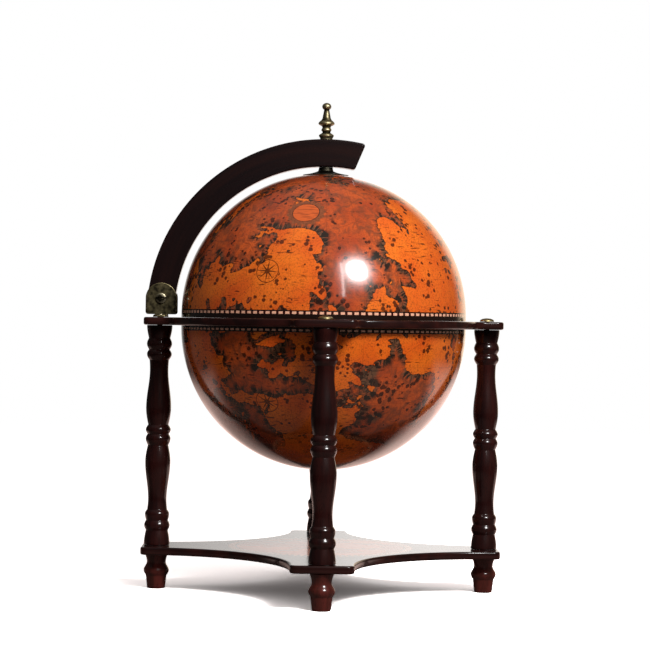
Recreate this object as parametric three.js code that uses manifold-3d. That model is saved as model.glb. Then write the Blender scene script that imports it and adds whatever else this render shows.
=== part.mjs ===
// Floor globe bar: a ball that opens at its waist, in a turned four-legged stand.
// Millimetres, +Z up, the origin on the floor under the ball's axis, the front leg towards -Y.

import * as THREE from 'three';
import { mergeVertices } from 'three/addons/utils/BufferGeometryUtils.js';
import Module from 'manifold-3d';

const wasm = await Module();
wasm.setup();

// Driving dimensions

const ballRadius = 165;
const shellWall = 6;
const domeSkirt = 4;
const mouthInset = 16;

const footHeight = 41;
const footRadius = 14.7;
const legLength = 255;
const legRadius = 15;
const legClearance = 10;

const boardThickness = 9;
const cornerOverhang = 17;
const cornerHalfWidth = 35;
const cornerRounding = 8;
const edgeEase = 1;

const armGap = 8;
const armWidth = 32;
const armThickness = 20;
const armEndClearance = 2;

const capHeight = 4;
const studRadius = 3;
const studGrip = 20;
const spindleRadius = 2.5;
const screwRadius = 1.5;

// Clearances: fit parts the faces that touch and rings each shaft, overrun carries each cut clear

const fit = 0.3;
const overrun = 5;

// Facet counts

const ballSides = 28;
const ballRings = 8;
const turningSides = 12;
const screwSides = 8;
const hexSides = 6;
const bendSteps = 3;
const sweepSteps = 20;

// Levels and radii that follow from the driving dimensions

const shelfBottom = footHeight;
const shelfTop = shelfBottom + boardThickness;
const boardBottom = shelfTop + legLength;
const boardTop = boardBottom + boardThickness;
const bowlCentre = boardBottom - fit;
const domeCentre = boardTop + domeSkirt;
const innerRadius = ballRadius - shellWall;
const mouthRadius = ballRadius - mouthInset;
const legCircle = ballRadius + legClearance + legRadius;
const cornerReach = legCircle + cornerOverhang;
const armInner = ballRadius + armGap;
const armOuter = armInner + armWidth;
const armMiddle = (armInner + armOuter) / 2;
const pivotHeight = boardTop + capHeight + armEndClearance + armWidth / 2;
const pivotRise = pivotHeight - domeCentre;
const pivotReach = Math.sqrt(armMiddle ** 2 - pivotRise ** 2);
const studBore = studRadius + fit;
const spindleBore = spindleRadius + fit;
const screwBore = screwRadius + fit;

// Finishes

const darkWood = { color: 0x2b1411, roughness: 0.22, metalness: 0 };
const antiqueBrass = { color: 0x7d6a3e, roughness: 0.42, metalness: 1 };
const varnishedMap = { color: 0xc0561c, roughness: 0.2, metalness: 0 };
const linedPanel = { color: 0x3a1a12, roughness: 0.6, metalness: 0 };
const zincSteel = { color: 0x9a9a96, roughness: 0.4, metalness: 1 };

// Solids, cuts and meshes

function solid(geometry) {
  geometry.deleteAttribute('normal');
  geometry.deleteAttribute('uv');
  const welded = mergeVertices(geometry);
  const corners = welded.index.array;
  const faces = [];
  for (let start = 0; start < corners.length; start += 3) {
    const [a, b, c] = corners.slice(start, start + 3);
    if (a !== b && b !== c && c !== a) faces.push(a, b, c);
  }
  return new wasm.Manifold(new wasm.Mesh({
    numProp: 3,
    vertProperties: Float32Array.from(welded.attributes.position.array),
    triVerts: Uint32Array.from(faces),
  }));
}

function piece(name, body, finish) {
  const { vertProperties, triVerts } = body.getMesh();
  const geometry = new THREE.BufferGeometry();
  geometry.setAttribute('position', new THREE.BufferAttribute(vertProperties, 3));
  geometry.setIndex(new THREE.BufferAttribute(triVerts, 1));
  geometry.computeVertexNormals();
  const mesh = new THREE.Mesh(geometry, new THREE.MeshStandardMaterial(finish));
  mesh.name = name;
  return mesh;
}

// A turned solid: an outline of [radius, height] points that starts and ends on the axis
function turned(outline, sides = turningSides) {
  const points = outline.map(([radius, height]) => new THREE.Vector2(radius, height));
  return solid(new THREE.LatheGeometry(points, sides).rotateX(Math.PI / 2));
}

// A turned ring: an outline that closes on itself off the axis
function turnedRing(outline, sides = turningSides) {
  return turned([...outline, outline[0]], sides);
}

// A straight round bar along Z, standing at x, y
function bar(radius, bottom, top, x = 0, y = 0, sides = screwSides) {
  const blank = new THREE.CylinderGeometry(radius, radius, top - bottom, sides);
  return solid(blank.rotateX(Math.PI / 2).translate(x, y, (bottom + top) / 2));
}

// A flat plate from z = 0 up, its outer edges eased by a small bevel
function plate(outline, thickness, ease) {
  const settings = {
    depth: thickness - 2 * ease,
    bevelEnabled: ease > 0,
    bevelThickness: ease,
    bevelSize: ease,
    bevelOffset: -ease,
    bevelSegments: 1,
  };
  return new THREE.ExtrudeGeometry(outline, settings).translate(0, 0, ease);
}

function arc(x, y, radius, from, to, steps) {
  return Array.from({ length: steps + 1 }, (_, step) => {
    const angle = from + ((to - from) * step) / steps;
    return new THREE.Vector2(x + radius * Math.cos(angle), y + radius * Math.sin(angle));
  });
}

function circle(radius, steps) {
  return arc(0, 0, radius, 0, 2 * Math.PI, steps).slice(0, steps);
}

// An arc of [radius, height] points about a centre on the turning axis
function turnedArc(radius, from, to, steps, height = 0) {
  return arc(0, height, radius, from, to, steps).map(({ x, y }) => [x, y]);
}

// The outline of a turning from its stations [height share, radius share, is round].
// A round station is a crown or a waist, so the curve is level there, and a plain one is a corner.
function turning(stationShares, height, radius, stride) {
  const outline = [];
  for (let index = 0; index < stationShares.length - 1; index += 1) {
    const [lowShare, startShare, startRound] = stationShares[index];
    const [highShare, endShare, endRound] = stationShares[index + 1];
    const rise = (highShare - lowShare) * height;
    const curved = startRound || endRound;
    const steps = curved ? Math.max(2, Math.ceil(rise / stride)) : 1;
    for (let step = 0; step < steps; step += 1) {
      const t = step / steps;
      let bend = t;
      if (startRound && endRound) bend = (1 - Math.cos(Math.PI * t)) / 2;
      else if (startRound) bend = 1 - Math.cos((Math.PI * t) / 2);
      else if (endRound) bend = Math.sin((Math.PI * t) / 2);
      outline.push([(startShare + (endShare - startShare) * bend) * radius, lowShare * height + rise * t]);
    }
  }
  const [topShare, lastShare] = stationShares.at(-1);
  outline.push([lastShare * radius, topShare * height]);
  return outline;
}

// The radius of an outline of [radius, height] points at a height between two of them
function radiusAt(outline, height) {
  const after = outline.findIndex(([, level], index) => index > 0
    && (level - height) * (outline[index - 1][1] - height) <= 0);
  const [startRadius, start] = outline[after - 1];
  const [endRadius, end] = outline[after];
  return startRadius + ((endRadius - startRadius) * (height - start)) / (end - start);
}

// The four sides of the stand

const sides = [
  { side: 'right', x: legCircle, y: 0 },
  { side: 'back', x: 0, y: legCircle },
  { side: 'left', x: -legCircle, y: 0 },
  { side: 'front', x: 0, y: -legCircle },
];

// Boards: four square-ended corners over the legs, one quarter repeated by turning it.
// Between the corners the shelf sweeps in by one arc, and the horizon board keeps a round rim.

const boardRimMargin = 14;
const boardFillet = 14;
const boardRimRadius = ballRadius + boardRimMargin;

function boardOutline(quarterBetween) {
  const centre = cornerReach - cornerRounding;
  const rise = cornerHalfWidth - cornerRounding;
  const quarter = [
    ...arc(centre, -rise, cornerRounding, -Math.PI / 2, 0, bendSteps),
    ...arc(centre, rise, cornerRounding, 0, Math.PI / 2, bendSteps),
    ...quarterBetween,
  ];
  const outline = [];
  for (let turn = 0; turn < 4; turn += 1) {
    const angle = (turn * Math.PI) / 2;
    quarter.forEach((point) => outline.push(point.clone().rotateAround(new THREE.Vector2(), angle)));
  }
  return new THREE.Shape(outline);
}

function shelfSweep() {
  const centre = cornerReach - cornerRounding;
  const sweep = arc(centre, centre, centre - cornerHalfWidth, -Math.PI / 2, -Math.PI, sweepSteps / 2);
  return sweep.slice(1, -1);
}

function horizonRim() {
  const height = cornerHalfWidth + boardFillet;
  const along = Math.sqrt((boardRimRadius + boardFillet) ** 2 - height ** 2);
  const lean = Math.atan2(height, along);
  return [
    ...arc(along, height, boardFillet, -Math.PI / 2, lean - Math.PI, bendSteps),
    ...arc(0, 0, boardRimRadius, lean, Math.PI / 2 - lean, sweepSteps / 2).slice(1, -1),
    ...arc(height, along, boardFillet, -Math.PI / 2 - lean, -Math.PI, bendSteps),
  ];
}

function lowerShelf() {
  const blank = plate(boardOutline(shelfSweep()), boardThickness, edgeEase);
  let shelf = solid(blank.translate(0, 0, shelfBottom));
  sides.forEach(({ x, y }) => {
    shelf = shelf.subtract(bar(studBore, shelfBottom - overrun, shelfTop + overrun, x, y));
  });
  return piece('lower_shelf', shelf, darkWood);
}

// Turned feet and legs, each drilled up its axis for the threaded stud that joins them

const turningStride = 15;
const footStationShares = [
  [0, 0.7, false],
  [0.366, 0.82, false],
  [0.512, 1, true],
  [0.74, 0.75, true],
  [1, 0.945, false],
];
const legStationShares = [
  [0, 1, true],
  [0.066, 0.853, false],
  [0.088, 0.987, true],
  [0.111, 0.847, false],
  [0.14, 0.94, true],
  [0.16, 0.773, false],
  [0.206, 0.713, true],
  [0.378, 0.973, true],
  [0.453, 0.793, false],
  [0.484, 0.96, true],
  [0.504, 0.82, false],
  [0.524, 0.967, true],
  [0.546, 0.78, false],
  [0.624, 0.967, true],
  [0.796, 0.713, true],
  [0.841, 0.747, false],
  [0.868, 0.96, true],
  [0.889, 0.8, false],
  [0.915, 0.973, true],
  [0.941, 0.827, false],
  [1, 0.985, true],
];

function foot(side) {
  const height = footHeight - fit;
  const outline = turning(footStationShares, height, footRadius, turningStride);
  const boreEnd = height - studGrip;
  return piece(`foot_${side}`, turned([
    [0, 0],
    ...outline,
    [studBore, height],
    [studBore, boreEnd],
    [0, boreEnd],
  ]), darkWood);
}

function leg(side) {
  const height = legLength - 2 * fit;
  const outline = turning(legStationShares, height, legRadius, turningStride);
  const mesh = piece(`leg_${side}`, turned([
    [0, studGrip],
    [studBore, studGrip],
    [studBore, 0],
    ...outline,
    [studBore, height],
    [studBore, height - studGrip],
    [0, height - studGrip],
  ]), darkWood);
  mesh.position.z = shelfTop + fit;
  return mesh;
}

function legStud(side) {
  const reach = studGrip - fit;
  const rod = bar(studRadius, shelfBottom - fit - reach, shelfTop + fit + reach);
  return piece(`leg_stud_${side}`, rod, zincSteel);
}

// A brass bolt with a low domed cap, through the horizon board into the top of each leg

const capRadius = 8.2;
const capEdge = 0.8;

function capBolt(side) {
  const seat = boardTop + fit;
  const shankEnd = boardBottom - fit - studGrip + fit;
  const crown = turnedArc(1, 0, Math.PI / 2, bendSteps)
    .map(([across, up]) => [across * capRadius, seat + capEdge + up * (capHeight - capEdge)]);
  crown[crown.length - 1][0] = 0;
  return piece(`cap_bolt_${side}`, turned([
    [0, shankEnd],
    [studRadius, shankEnd],
    [studRadius, seat],
    [capRadius, seat],
    ...crown,
  ], screwSides), antiqueBrass);
}

// Lower bowl: a half ball under the horizon board, hung from a wooden rim ring screwed up into it

const rimRingHeight = 12;
const rimRingLedge = 1;
const rimScrewGrip = 5;
const rimScrewHead = 3;
const rimScrewHeadHeight = 1.8;

const bowlInside = turnedArc(innerRadius, 0, -Math.PI / 2, ballRings);
bowlInside[ballRings][0] = 0;
const rimRingInner = mouthRadius - rimRingLedge;
const rimRingOuter = radiusAt(bowlInside, -rimRingHeight) - fit;
const rimScrewCircle = (rimRingInner + rimRingOuter) / 2;
const rimScrews = [0, 1, 2, 3].map((index) => {
  const angle = ((index + 1 / 2) * Math.PI) / 2;
  return { index, x: rimScrewCircle * Math.cos(angle), y: rimScrewCircle * Math.sin(angle) };
});

function lowerBowl() {
  const outside = turnedArc(ballRadius, -Math.PI / 2, 0, ballRings);
  outside[0][0] = 0;
  return piece('lower_bowl', turned([...outside, ...bowlInside], ballSides), varnishedMap);
}

function bowlRimRing() {
  let ring = turnedRing([
    [rimRingInner, -rimRingHeight],
    [rimRingOuter, -rimRingHeight],
    [rimRingOuter, 0],
    [rimRingInner, 0],
  ], ballSides);
  rimScrews.forEach(({ x, y }) => {
    ring = ring.subtract(bar(screwBore, -rimRingHeight - overrun, overrun, x, y));
  });
  return piece('bowl_rim_ring', ring, darkWood);
}

function rimScrew({ index, x, y }) {
  const seat = -rimRingHeight - fit;
  const tip = fit + rimScrewGrip;
  const mesh = piece(`rim_screw_${index + 1}`, turned([
    [0, seat - rimScrewHeadHeight],
    [rimScrewHead / 2, seat - rimScrewHeadHeight],
    [rimScrewHead, seat - rimScrewHeadHeight / 2],
    [rimScrewHead, seat],
    [screwRadius, seat],
    [screwRadius, tip],
    [0, tip],
  ], screwSides), zincSteel);
  mesh.position.set(x, y, 0);
  return mesh;
}

// Glass tray: a round panel wedged in the bowl, with a bottle hole and a ring of glass holes

const trayDrop = 43;
const trayThickness = 9;
const bottleHole = 43;
const glassHole = 31;
const glassSpacing = 28;

function glassTray() {
  const top = -trayDrop;
  const bottom = top - trayThickness;
  const edge = radiusAt(bowlInside, bottom) - fit;
  const glassCircle = (bottleHole + edge) / 2;
  const glassCount = Math.floor((2 * Math.PI * glassCircle) / (2 * glassHole + glassSpacing));
  let tray = turnedRing([
    [bottleHole, bottom],
    [edge, bottom],
    [radiusAt(bowlInside, top) - fit, top],
    [bottleHole, top],
  ], ballSides);
  for (let index = 0; index < glassCount; index += 1) {
    const angle = ((index + 1 / 2) * 2 * Math.PI) / glassCount;
    const x = glassCircle * Math.cos(angle);
    const y = glassCircle * Math.sin(angle);
    tray = tray.subtract(bar(glassHole, bottom - overrun, top + overrun, x, y, ballSides / 2));
  }
  return piece('glass_tray', tray, linedPanel);
}

// Bottle floor: a small disc low in the bowl that the bottle stands on

const floorLift = 10;
const floorThickness = 8;

function bottleFloor() {
  const bottom = floorLift - innerRadius;
  const top = bottom + floorThickness;
  return piece('bottle_floor', turned([
    [0, bottom],
    [radiusAt(bowlInside, bottom) - fit, bottom],
    [radiusAt(bowlInside, top) - fit, top],
    [0, top],
  ], ballSides), linedPanel);
}

// Hinge: two brass cheeks stand on bent feet on the left corner, the arm's end between them

const cheekMargin = 2;
const cheekWall = 2;
const cheekLift = 3.4;
const cheekCorner = 3;
const tabWidth = 14;
const tabReach = 14;
const tabRounding = 4;
const tabScrewGrip = 6;
const tabScrewHead = 3.3;
const tabScrewHeadHeight = 2;
const pivotRadius = 3;
const pivotHead = 6;
const pivotHeadHeight = 3;
const pivotSlot = 1.6;
const pivotSlotDepth = 1.2;
const nutRadius = 6.5;
const nutThickness = 4;
const nutTip = 1.5;

const cheekRadius = armWidth / 2 + cheekMargin;
const pivotOverBoard = pivotHeight - boardTop;
const pivotBore = pivotRadius + fit;
const cheekInside = armThickness / 2 + fit;
const cheekOutside = cheekInside + cheekWall;
const tabScrewReach = (cheekOutside + cheekInside + tabReach) / 2;

function cheekPlate() {
  const foot = fit - pivotOverBoard;
  const edge = cheekLift - pivotOverBoard;
  const corner = cheekRadius - cheekCorner;
  const outline = new THREE.Shape([
    ...arc(0, 0, cheekRadius, 0, Math.PI, sweepSteps / 2),
    ...arc(-corner, edge + cheekCorner, cheekCorner, Math.PI, (3 * Math.PI) / 2, bendSteps),
    new THREE.Vector2(-tabWidth / 2, edge),
    new THREE.Vector2(-tabWidth / 2, foot),
    new THREE.Vector2(tabWidth / 2, foot),
    new THREE.Vector2(tabWidth / 2, edge),
    ...arc(corner, edge + cheekCorner, cheekCorner, -Math.PI / 2, 0, bendSteps),
  ]);
  return solid(plate(outline, cheekWall, 0).rotateX(Math.PI / 2).translate(0, -cheekInside, 0));
}

function cheekTab() {
  const half = tabWidth / 2;
  const end = cheekInside + tabReach;
  const outline = new THREE.Shape([
    ...arc(tabRounding - half, tabRounding - end, tabRounding, Math.PI, (3 * Math.PI) / 2, bendSteps),
    ...arc(half - tabRounding, tabRounding - end, tabRounding, -Math.PI / 2, 0, bendSteps),
    new THREE.Vector2(half, -cheekInside),
    new THREE.Vector2(-half, -cheekInside),
  ]);
  return solid(plate(outline, cheekWall, 0).translate(0, 0, fit - pivotOverBoard));
}

function hingeCheek(side) {
  const pivotHoleLength = 2 * (cheekOutside + overrun);
  const pivotHole = new THREE.CylinderGeometry(pivotBore, pivotBore, pivotHoleLength, turningSides);
  const tabLevel = fit - pivotOverBoard;
  const screwHole = bar(screwBore, tabLevel - overrun, tabLevel + cheekWall + overrun, 0, -tabScrewReach);
  const cheek = cheekPlate().add(cheekTab()).subtract(solid(pivotHole)).subtract(screwHole);
  return piece(`hinge_cheek_${side}`, cheek, antiqueBrass);
}

function tabScrew(side) {
  const seat = 2 * fit + cheekWall - pivotOverBoard;
  const tip = -pivotOverBoard - tabScrewGrip;
  const crown = turnedArc(1, 0, Math.PI / 2, bendSteps)
    .map(([across, up]) => [across * tabScrewHead, seat + up * tabScrewHeadHeight]);
  crown[crown.length - 1][0] = 0;
  const mesh = piece(`tab_screw_${side}`, turned([
    [0, tip],
    [screwRadius, tip],
    [screwRadius, seat],
    ...crown,
  ], screwSides), antiqueBrass);
  mesh.position.y = -tabScrewReach;
  return mesh;
}

function pivotBolt() {
  const seat = cheekOutside + fit;
  const end = -(cheekOutside + fit + nutThickness + nutTip);
  const crown = turnedArc(1, 0, Math.PI / 2, bendSteps)
    .map(([across, up]) => [across * pivotHead, seat + pivotHeadHeight * (1 + up) / 2]);
  crown[crown.length - 1][0] = 0;
  const blank = turned([
    [0, end],
    [pivotRadius, end],
    [pivotRadius, seat],
    [pivotHead, seat],
    ...crown,
  ]);
  const slot = new THREE.BoxGeometry(2 * (pivotHead + overrun), pivotSlot, 2 * pivotSlotDepth);
  slot.translate(0, 0, seat + pivotHeadHeight);
  const mesh = piece('pivot_bolt', blank.subtract(solid(slot)), antiqueBrass);
  mesh.rotation.x = Math.PI / 2;
  return mesh;
}

function pivotNut() {
  const seat = -(cheekOutside + fit);
  const blank = bar(nutRadius, seat - nutThickness, seat, 0, 0, hexSides);
  const bore = bar(pivotBore, seat - nutThickness - overrun, seat + overrun, 0, 0, turningSides);
  const mesh = piece('pivot_nut', blank.subtract(bore), antiqueBrass);
  mesh.rotation.x = Math.PI / 2;
  return mesh;
}

function hinge() {
  const group = new THREE.Group();
  group.position.set(-pivotReach, 0, pivotHeight);
  [['front', 0], ['back', Math.PI]].forEach(([side, turn]) => {
    const half = new THREE.Group();
    half.rotation.z = turn;
    half.add(hingeCheek(side), tabScrew(side));
    group.add(half);
  });
  group.add(pivotBolt(), pivotNut());
  return group;
}

// Horizon board: the round-rimmed top board, drilled for the cap bolts and for the small screws

function horizonBoard() {
  const outline = boardOutline(horizonRim());
  outline.holes.push(new THREE.Path(circle(mouthRadius, ballSides)));
  let board = solid(plate(outline, boardThickness, edgeEase).translate(0, 0, boardBottom));
  sides.forEach(({ x, y }) => {
    board = board.subtract(bar(studBore, boardBottom - overrun, boardTop + overrun, x, y));
  });
  rimScrews.forEach(({ x, y }) => {
    board = board.subtract(bar(screwBore, boardBottom - overrun, boardBottom + rimScrewGrip + fit, x, y));
  });
  [-tabScrewReach, tabScrewReach].forEach((y) => {
    const boreEnd = boardTop - tabScrewGrip - fit;
    board = board.subtract(bar(screwBore, boreEnd, boardTop + overrun, -pivotReach, y));
  });
  return piece('horizon_board', board, darkWood);
}

// Dome: the upper half ball with a straight skirt, stiffened inside by a wooden ring.
// Heights of the dome and of the arm are counted from the dome's centre.

const calotteRadius = 26.5;
const calotteLip = 0.6;
const calotteThickness = 3;

const skirtBottom = fit - domeSkirt;
const domeInside = turnedArc(innerRadius, Math.acos(spindleBore / innerRadius), 0, ballRings);

function domeShell() {
  return piece('dome_shell', turnedRing([
    [ballRadius, skirtBottom],
    ...turnedArc(ballRadius, 0, Math.acos(spindleBore / ballRadius), ballRings),
    ...domeInside,
    [innerRadius, skirtBottom],
  ], ballSides), varnishedMap);
}

function domeRimRing() {
  const top = skirtBottom + rimRingHeight;
  const outer = radiusAt(domeInside, top) - fit;
  return piece('dome_rim_ring', turnedRing([
    [rimRingInner, skirtBottom],
    [outer, skirtBottom],
    [outer, top],
    [rimRingInner, top],
  ], ballSides), darkWood);
}

// Polar calotte: a thin brass saucer on the dome's pole, which thickens to the ferrule's width

const ferruleRadius = 8.9;

function overBall(radius) {
  return Math.sqrt(ballRadius ** 2 - radius ** 2) + fit;
}

function polarCalotte() {
  const crown = ballRadius + fit + calotteThickness;
  const spread = calotteRadius - ferruleRadius;
  const steps = Array.from({ length: bendSteps + 1 }, (_, step) => step / bendSteps);
  const under = steps.map((share) => {
    const radius = spindleBore + (calotteRadius - spindleBore) * share;
    return [radius, overBall(radius)];
  });
  const upper = steps.map((share) => {
    const radius = calotteRadius - spread * share;
    return [radius, overBall(radius) + calotteLip + (crown - overBall(ferruleRadius) - calotteLip) * share];
  });
  const saucer = turnedRing([...under, ...upper, [spindleBore, crown]], ballSides / 2);
  return piece('polar_calotte', saucer, antiqueBrass);
}

// Meridian arm: a quarter arch of wood from the hinge to just past the pole, cut off on the rake

const tipOuterReach = 46;
const tipInnerReach = 33.5;

function meridianArm() {
  const pivotAngle = Math.PI - Math.asin(pivotRise / armMiddle);
  const endSteps = sweepSteps / 2;
  const outline = new THREE.Shape([
    ...arc(0, 0, armOuter, Math.acos(tipOuterReach / armOuter), pivotAngle, sweepSteps),
    ...arc(-pivotReach, pivotRise, armWidth / 2, pivotAngle, pivotAngle + Math.PI, endSteps).slice(1, -1),
    ...arc(0, 0, armInner, pivotAngle, Math.acos(tipInnerReach / armInner), sweepSteps),
  ]);
  const blank = plate(outline, armThickness, edgeEase).rotateX(Math.PI / 2);
  blank.translate(0, armThickness / 2, 0);
  const pivotHoleLength = armThickness + 2 * overrun;
  const pivotHole = new THREE.CylinderGeometry(pivotBore, pivotBore, pivotHoleLength, turningSides);
  const arm = solid(blank)
    .subtract(solid(pivotHole.translate(-pivotReach, 0, pivotRise)))
    .subtract(bar(spindleBore, armInner - overrun, armOuter + overrun, 0, 0, turningSides));
  return piece('meridian_arm', arm, darkWood);
}

// Ferrule: a short brass spacer between the arm and the calotte

function armFerrule() {
  const bottom = ballRadius + calotteThickness + 2 * fit;
  const top = Math.sqrt(armInner ** 2 - ferruleRadius ** 2) - fit;
  return piece('arm_ferrule', turnedRing([
    [spindleBore, bottom],
    [ferruleRadius, bottom],
    [ferruleRadius, top],
    [spindleBore, top],
  ]), antiqueBrass);
}

// Spindle, washer and nut: the threaded rod that hangs the dome from the arm, where it turns

const washerRadius = 12;
const washerThickness = 1.6;
const spindleTip = 2;
const finialBoreDepth = 9;

function heightUnderDome(radius) {
  return radiusAt(domeInside.map(([across, height]) => [height, across]), radius);
}

const washerTop = heightUnderDome(washerRadius) - fit;
const washerBottom = washerTop - washerThickness;
const spindleNutTop = washerBottom - fit;
const spindleNutBottom = spindleNutTop - nutThickness;

function spindleWasher() {
  return piece('spindle_washer', turnedRing([
    [spindleBore, washerBottom],
    [washerRadius, washerBottom],
    [washerRadius, washerTop],
    [spindleBore, washerTop],
  ]), zincSteel);
}

function spindleNut() {
  const blank = bar(nutRadius, spindleNutBottom, spindleNutTop, 0, 0, hexSides);
  const bore = bar(spindleBore, spindleNutBottom - overrun, spindleNutTop + overrun, 0, 0, turningSides);
  return piece('spindle_nut', blank.subtract(bore), zincSteel);
}

// Finial: a spool collar on the arm, and a turned brass knob with a flange, a cone and a ball

const collarHeight = 13.4;
const collarRadius = 8.7;
const finialHeight = 28.7;
const finialFlange = 9.45;
const finialBall = 5.3;
const finialBallRise = 4.4;
const finialStride = 3;
const collarStationShares = [
  [0, 0.874, false],
  [0.12, 0.874, false],
  [0.33, 1, true],
  [0.62, 0.53, true],
  [0.8, 0.678, true],
  [1, 0.535, false],
];
const finialStationShares = [
  [0, 0.5, false],
  [0.056, 0.571, false],
  [0.157, 1, true],
  [0.3, 0.635, false],
  [0.38, 0.508, false],
  [0.7, 0.33, false],
];

const collarSeat = armOuter + fit;
const finialSeat = collarSeat + collarHeight + fit;

function finialCollar() {
  const outline = turning(collarStationShares, collarHeight, collarRadius, finialStride);
  const mesh = piece('finial_collar', turnedRing([
    [spindleBore, 0],
    ...outline,
    [spindleBore, collarHeight],
  ]), antiqueBrass);
  mesh.position.z = collarSeat;
  return mesh;
}

function finial() {
  const neckRadius = finialStationShares.at(-1)[1] * finialFlange;
  const neckAngle = Math.acos(neckRadius / finialBall);
  const ball = turnedArc(1, -neckAngle, Math.PI / 2, 2 * bendSteps)
    .map(([across, up]) => [across * finialBall, finialHeight + (up - 1) * finialBallRise]);
  ball[ball.length - 1][0] = 0;
  const mesh = piece('finial', turned([
    [0, finialBoreDepth],
    [spindleBore, finialBoreDepth],
    [spindleBore, 0],
    ...turning(finialStationShares, finialHeight, finialFlange, finialStride).slice(0, -1),
    ...ball,
  ]), antiqueBrass);
  mesh.position.z = finialSeat;
  return mesh;
}

function polarSpindle() {
  const bottom = spindleNutBottom - spindleTip;
  const top = finialSeat + finialBoreDepth - fit;
  return piece('polar_spindle', bar(spindleRadius, bottom, top, 0, 0, turningSides), zincSteel);
}

// Assembly

function stand() {
  const group = new THREE.Group();
  group.add(lowerShelf(), horizonBoard());
  sides.forEach(({ side, x, y }) => {
    const corner = new THREE.Group();
    corner.position.set(x, y, 0);
    corner.add(foot(side), legStud(side), leg(side), capBolt(side));
    group.add(corner);
  });
  const bowl = new THREE.Group();
  bowl.position.z = bowlCentre;
  bowl.add(lowerBowl(), bowlRimRing(), glassTray(), bottleFloor(), ...rimScrews.map(rimScrew));
  group.add(bowl, hinge());
  return group;
}

function lid() {
  const group = new THREE.Group();
  group.position.z = domeCentre;
  group.add(domeShell(), domeRimRing(), polarCalotte());
  group.add(meridianArm(), armFerrule(), polarSpindle(), spindleWasher(), spindleNut());
  group.add(finialCollar(), finial());
  return group;
}

const globeBar = new THREE.Group();
globeBar.add(stand(), lid());

export default globeBar;
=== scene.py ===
# Floor globe bar: the looks of a map-covered ball that opens at its waist, in a turned four-legged stand.
# Blender works in metres. Sizes of pieces are in millimetres and are brought to metres by MM.
# +Z is up, the origin is on the floor under the ball's axis, and the front leg is towards -Y.

import math

import bmesh
import bpy
import numpy as np
from mathutils import Matrix, Quaternion, Vector


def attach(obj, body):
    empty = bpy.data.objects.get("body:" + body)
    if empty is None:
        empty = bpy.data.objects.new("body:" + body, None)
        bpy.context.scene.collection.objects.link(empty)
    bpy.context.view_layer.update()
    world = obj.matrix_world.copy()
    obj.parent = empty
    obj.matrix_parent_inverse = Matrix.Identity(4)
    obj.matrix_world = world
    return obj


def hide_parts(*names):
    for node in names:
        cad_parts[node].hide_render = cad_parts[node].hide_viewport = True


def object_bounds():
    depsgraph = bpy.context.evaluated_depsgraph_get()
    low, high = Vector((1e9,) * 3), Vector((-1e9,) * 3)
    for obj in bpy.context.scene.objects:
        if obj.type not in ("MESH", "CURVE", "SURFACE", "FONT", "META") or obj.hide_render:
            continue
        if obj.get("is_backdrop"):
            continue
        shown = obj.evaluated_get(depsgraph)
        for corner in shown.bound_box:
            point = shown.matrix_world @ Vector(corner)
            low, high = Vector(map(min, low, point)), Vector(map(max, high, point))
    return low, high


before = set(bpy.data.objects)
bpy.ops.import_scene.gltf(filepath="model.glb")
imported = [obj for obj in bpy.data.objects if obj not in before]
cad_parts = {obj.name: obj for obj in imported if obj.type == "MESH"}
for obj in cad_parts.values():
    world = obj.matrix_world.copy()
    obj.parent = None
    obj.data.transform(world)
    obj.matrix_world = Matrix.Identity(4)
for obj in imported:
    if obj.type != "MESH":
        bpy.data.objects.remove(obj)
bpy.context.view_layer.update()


# Lower shelf: a board between the feet and the legs, swept in by an arc between its square-ended corners.
# It is rubberwood sawn to shape, with its edges rounded over by a router, then stained as dark mahogany.
# A round paper chart lies in its middle, under the gloss lacquer.

MM = 0.001
LEG_CIRCLE = 190
CORNER_REACH = 207
CORNER_HALF_WIDTH = 35
CORNER_ROUNDING = 8
BOARD_THICKNESS = 9
SHELF_BOTTOM = 41
ROUTED_EDGE = 2.2
STUD_BORE = 3.3
BORE_STEP = 0.5
CREASE = 38
CHART_RADIUS = 108
CHART_BORDER = 98
CHART_BOXES = 90
CHART_RINGS = 12
CHART_SPOKES = 24


def linear(colour):
    """An sRGB hex colour as linear red, green and blue, with a full alpha."""
    coded = [int(colour[place:place + 2], 16) / 255 for place in (1, 3, 5)]
    return [c / 12.92 if c < 0.04045 else ((c + 0.055) / 1.055) ** 2.4 for c in coded] + [1]


def add_node(tree, kind, settings=(), sockets=()):
    """Adds a shader node with its settings. Each socket, by name or place, gets a value or a link from
    another node's output. Gives back the node's outputs."""
    node = tree.nodes.new(f"ShaderNode{kind}")
    for name, value in dict(settings).items():
        setattr(node, name, value)
    for name, value in dict(sockets).items():
        if isinstance(value, bpy.types.NodeSocket):
            tree.links.new(value, node.inputs[name])
        else:
            node.inputs[name].default_value = value
    return node.outputs


def new_finish(name):
    """A new material and its empty node tree."""
    material = bpy.data.materials.new(name)
    material.use_nodes = True
    material.node_tree.nodes.clear()
    return material, material.node_tree


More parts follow.
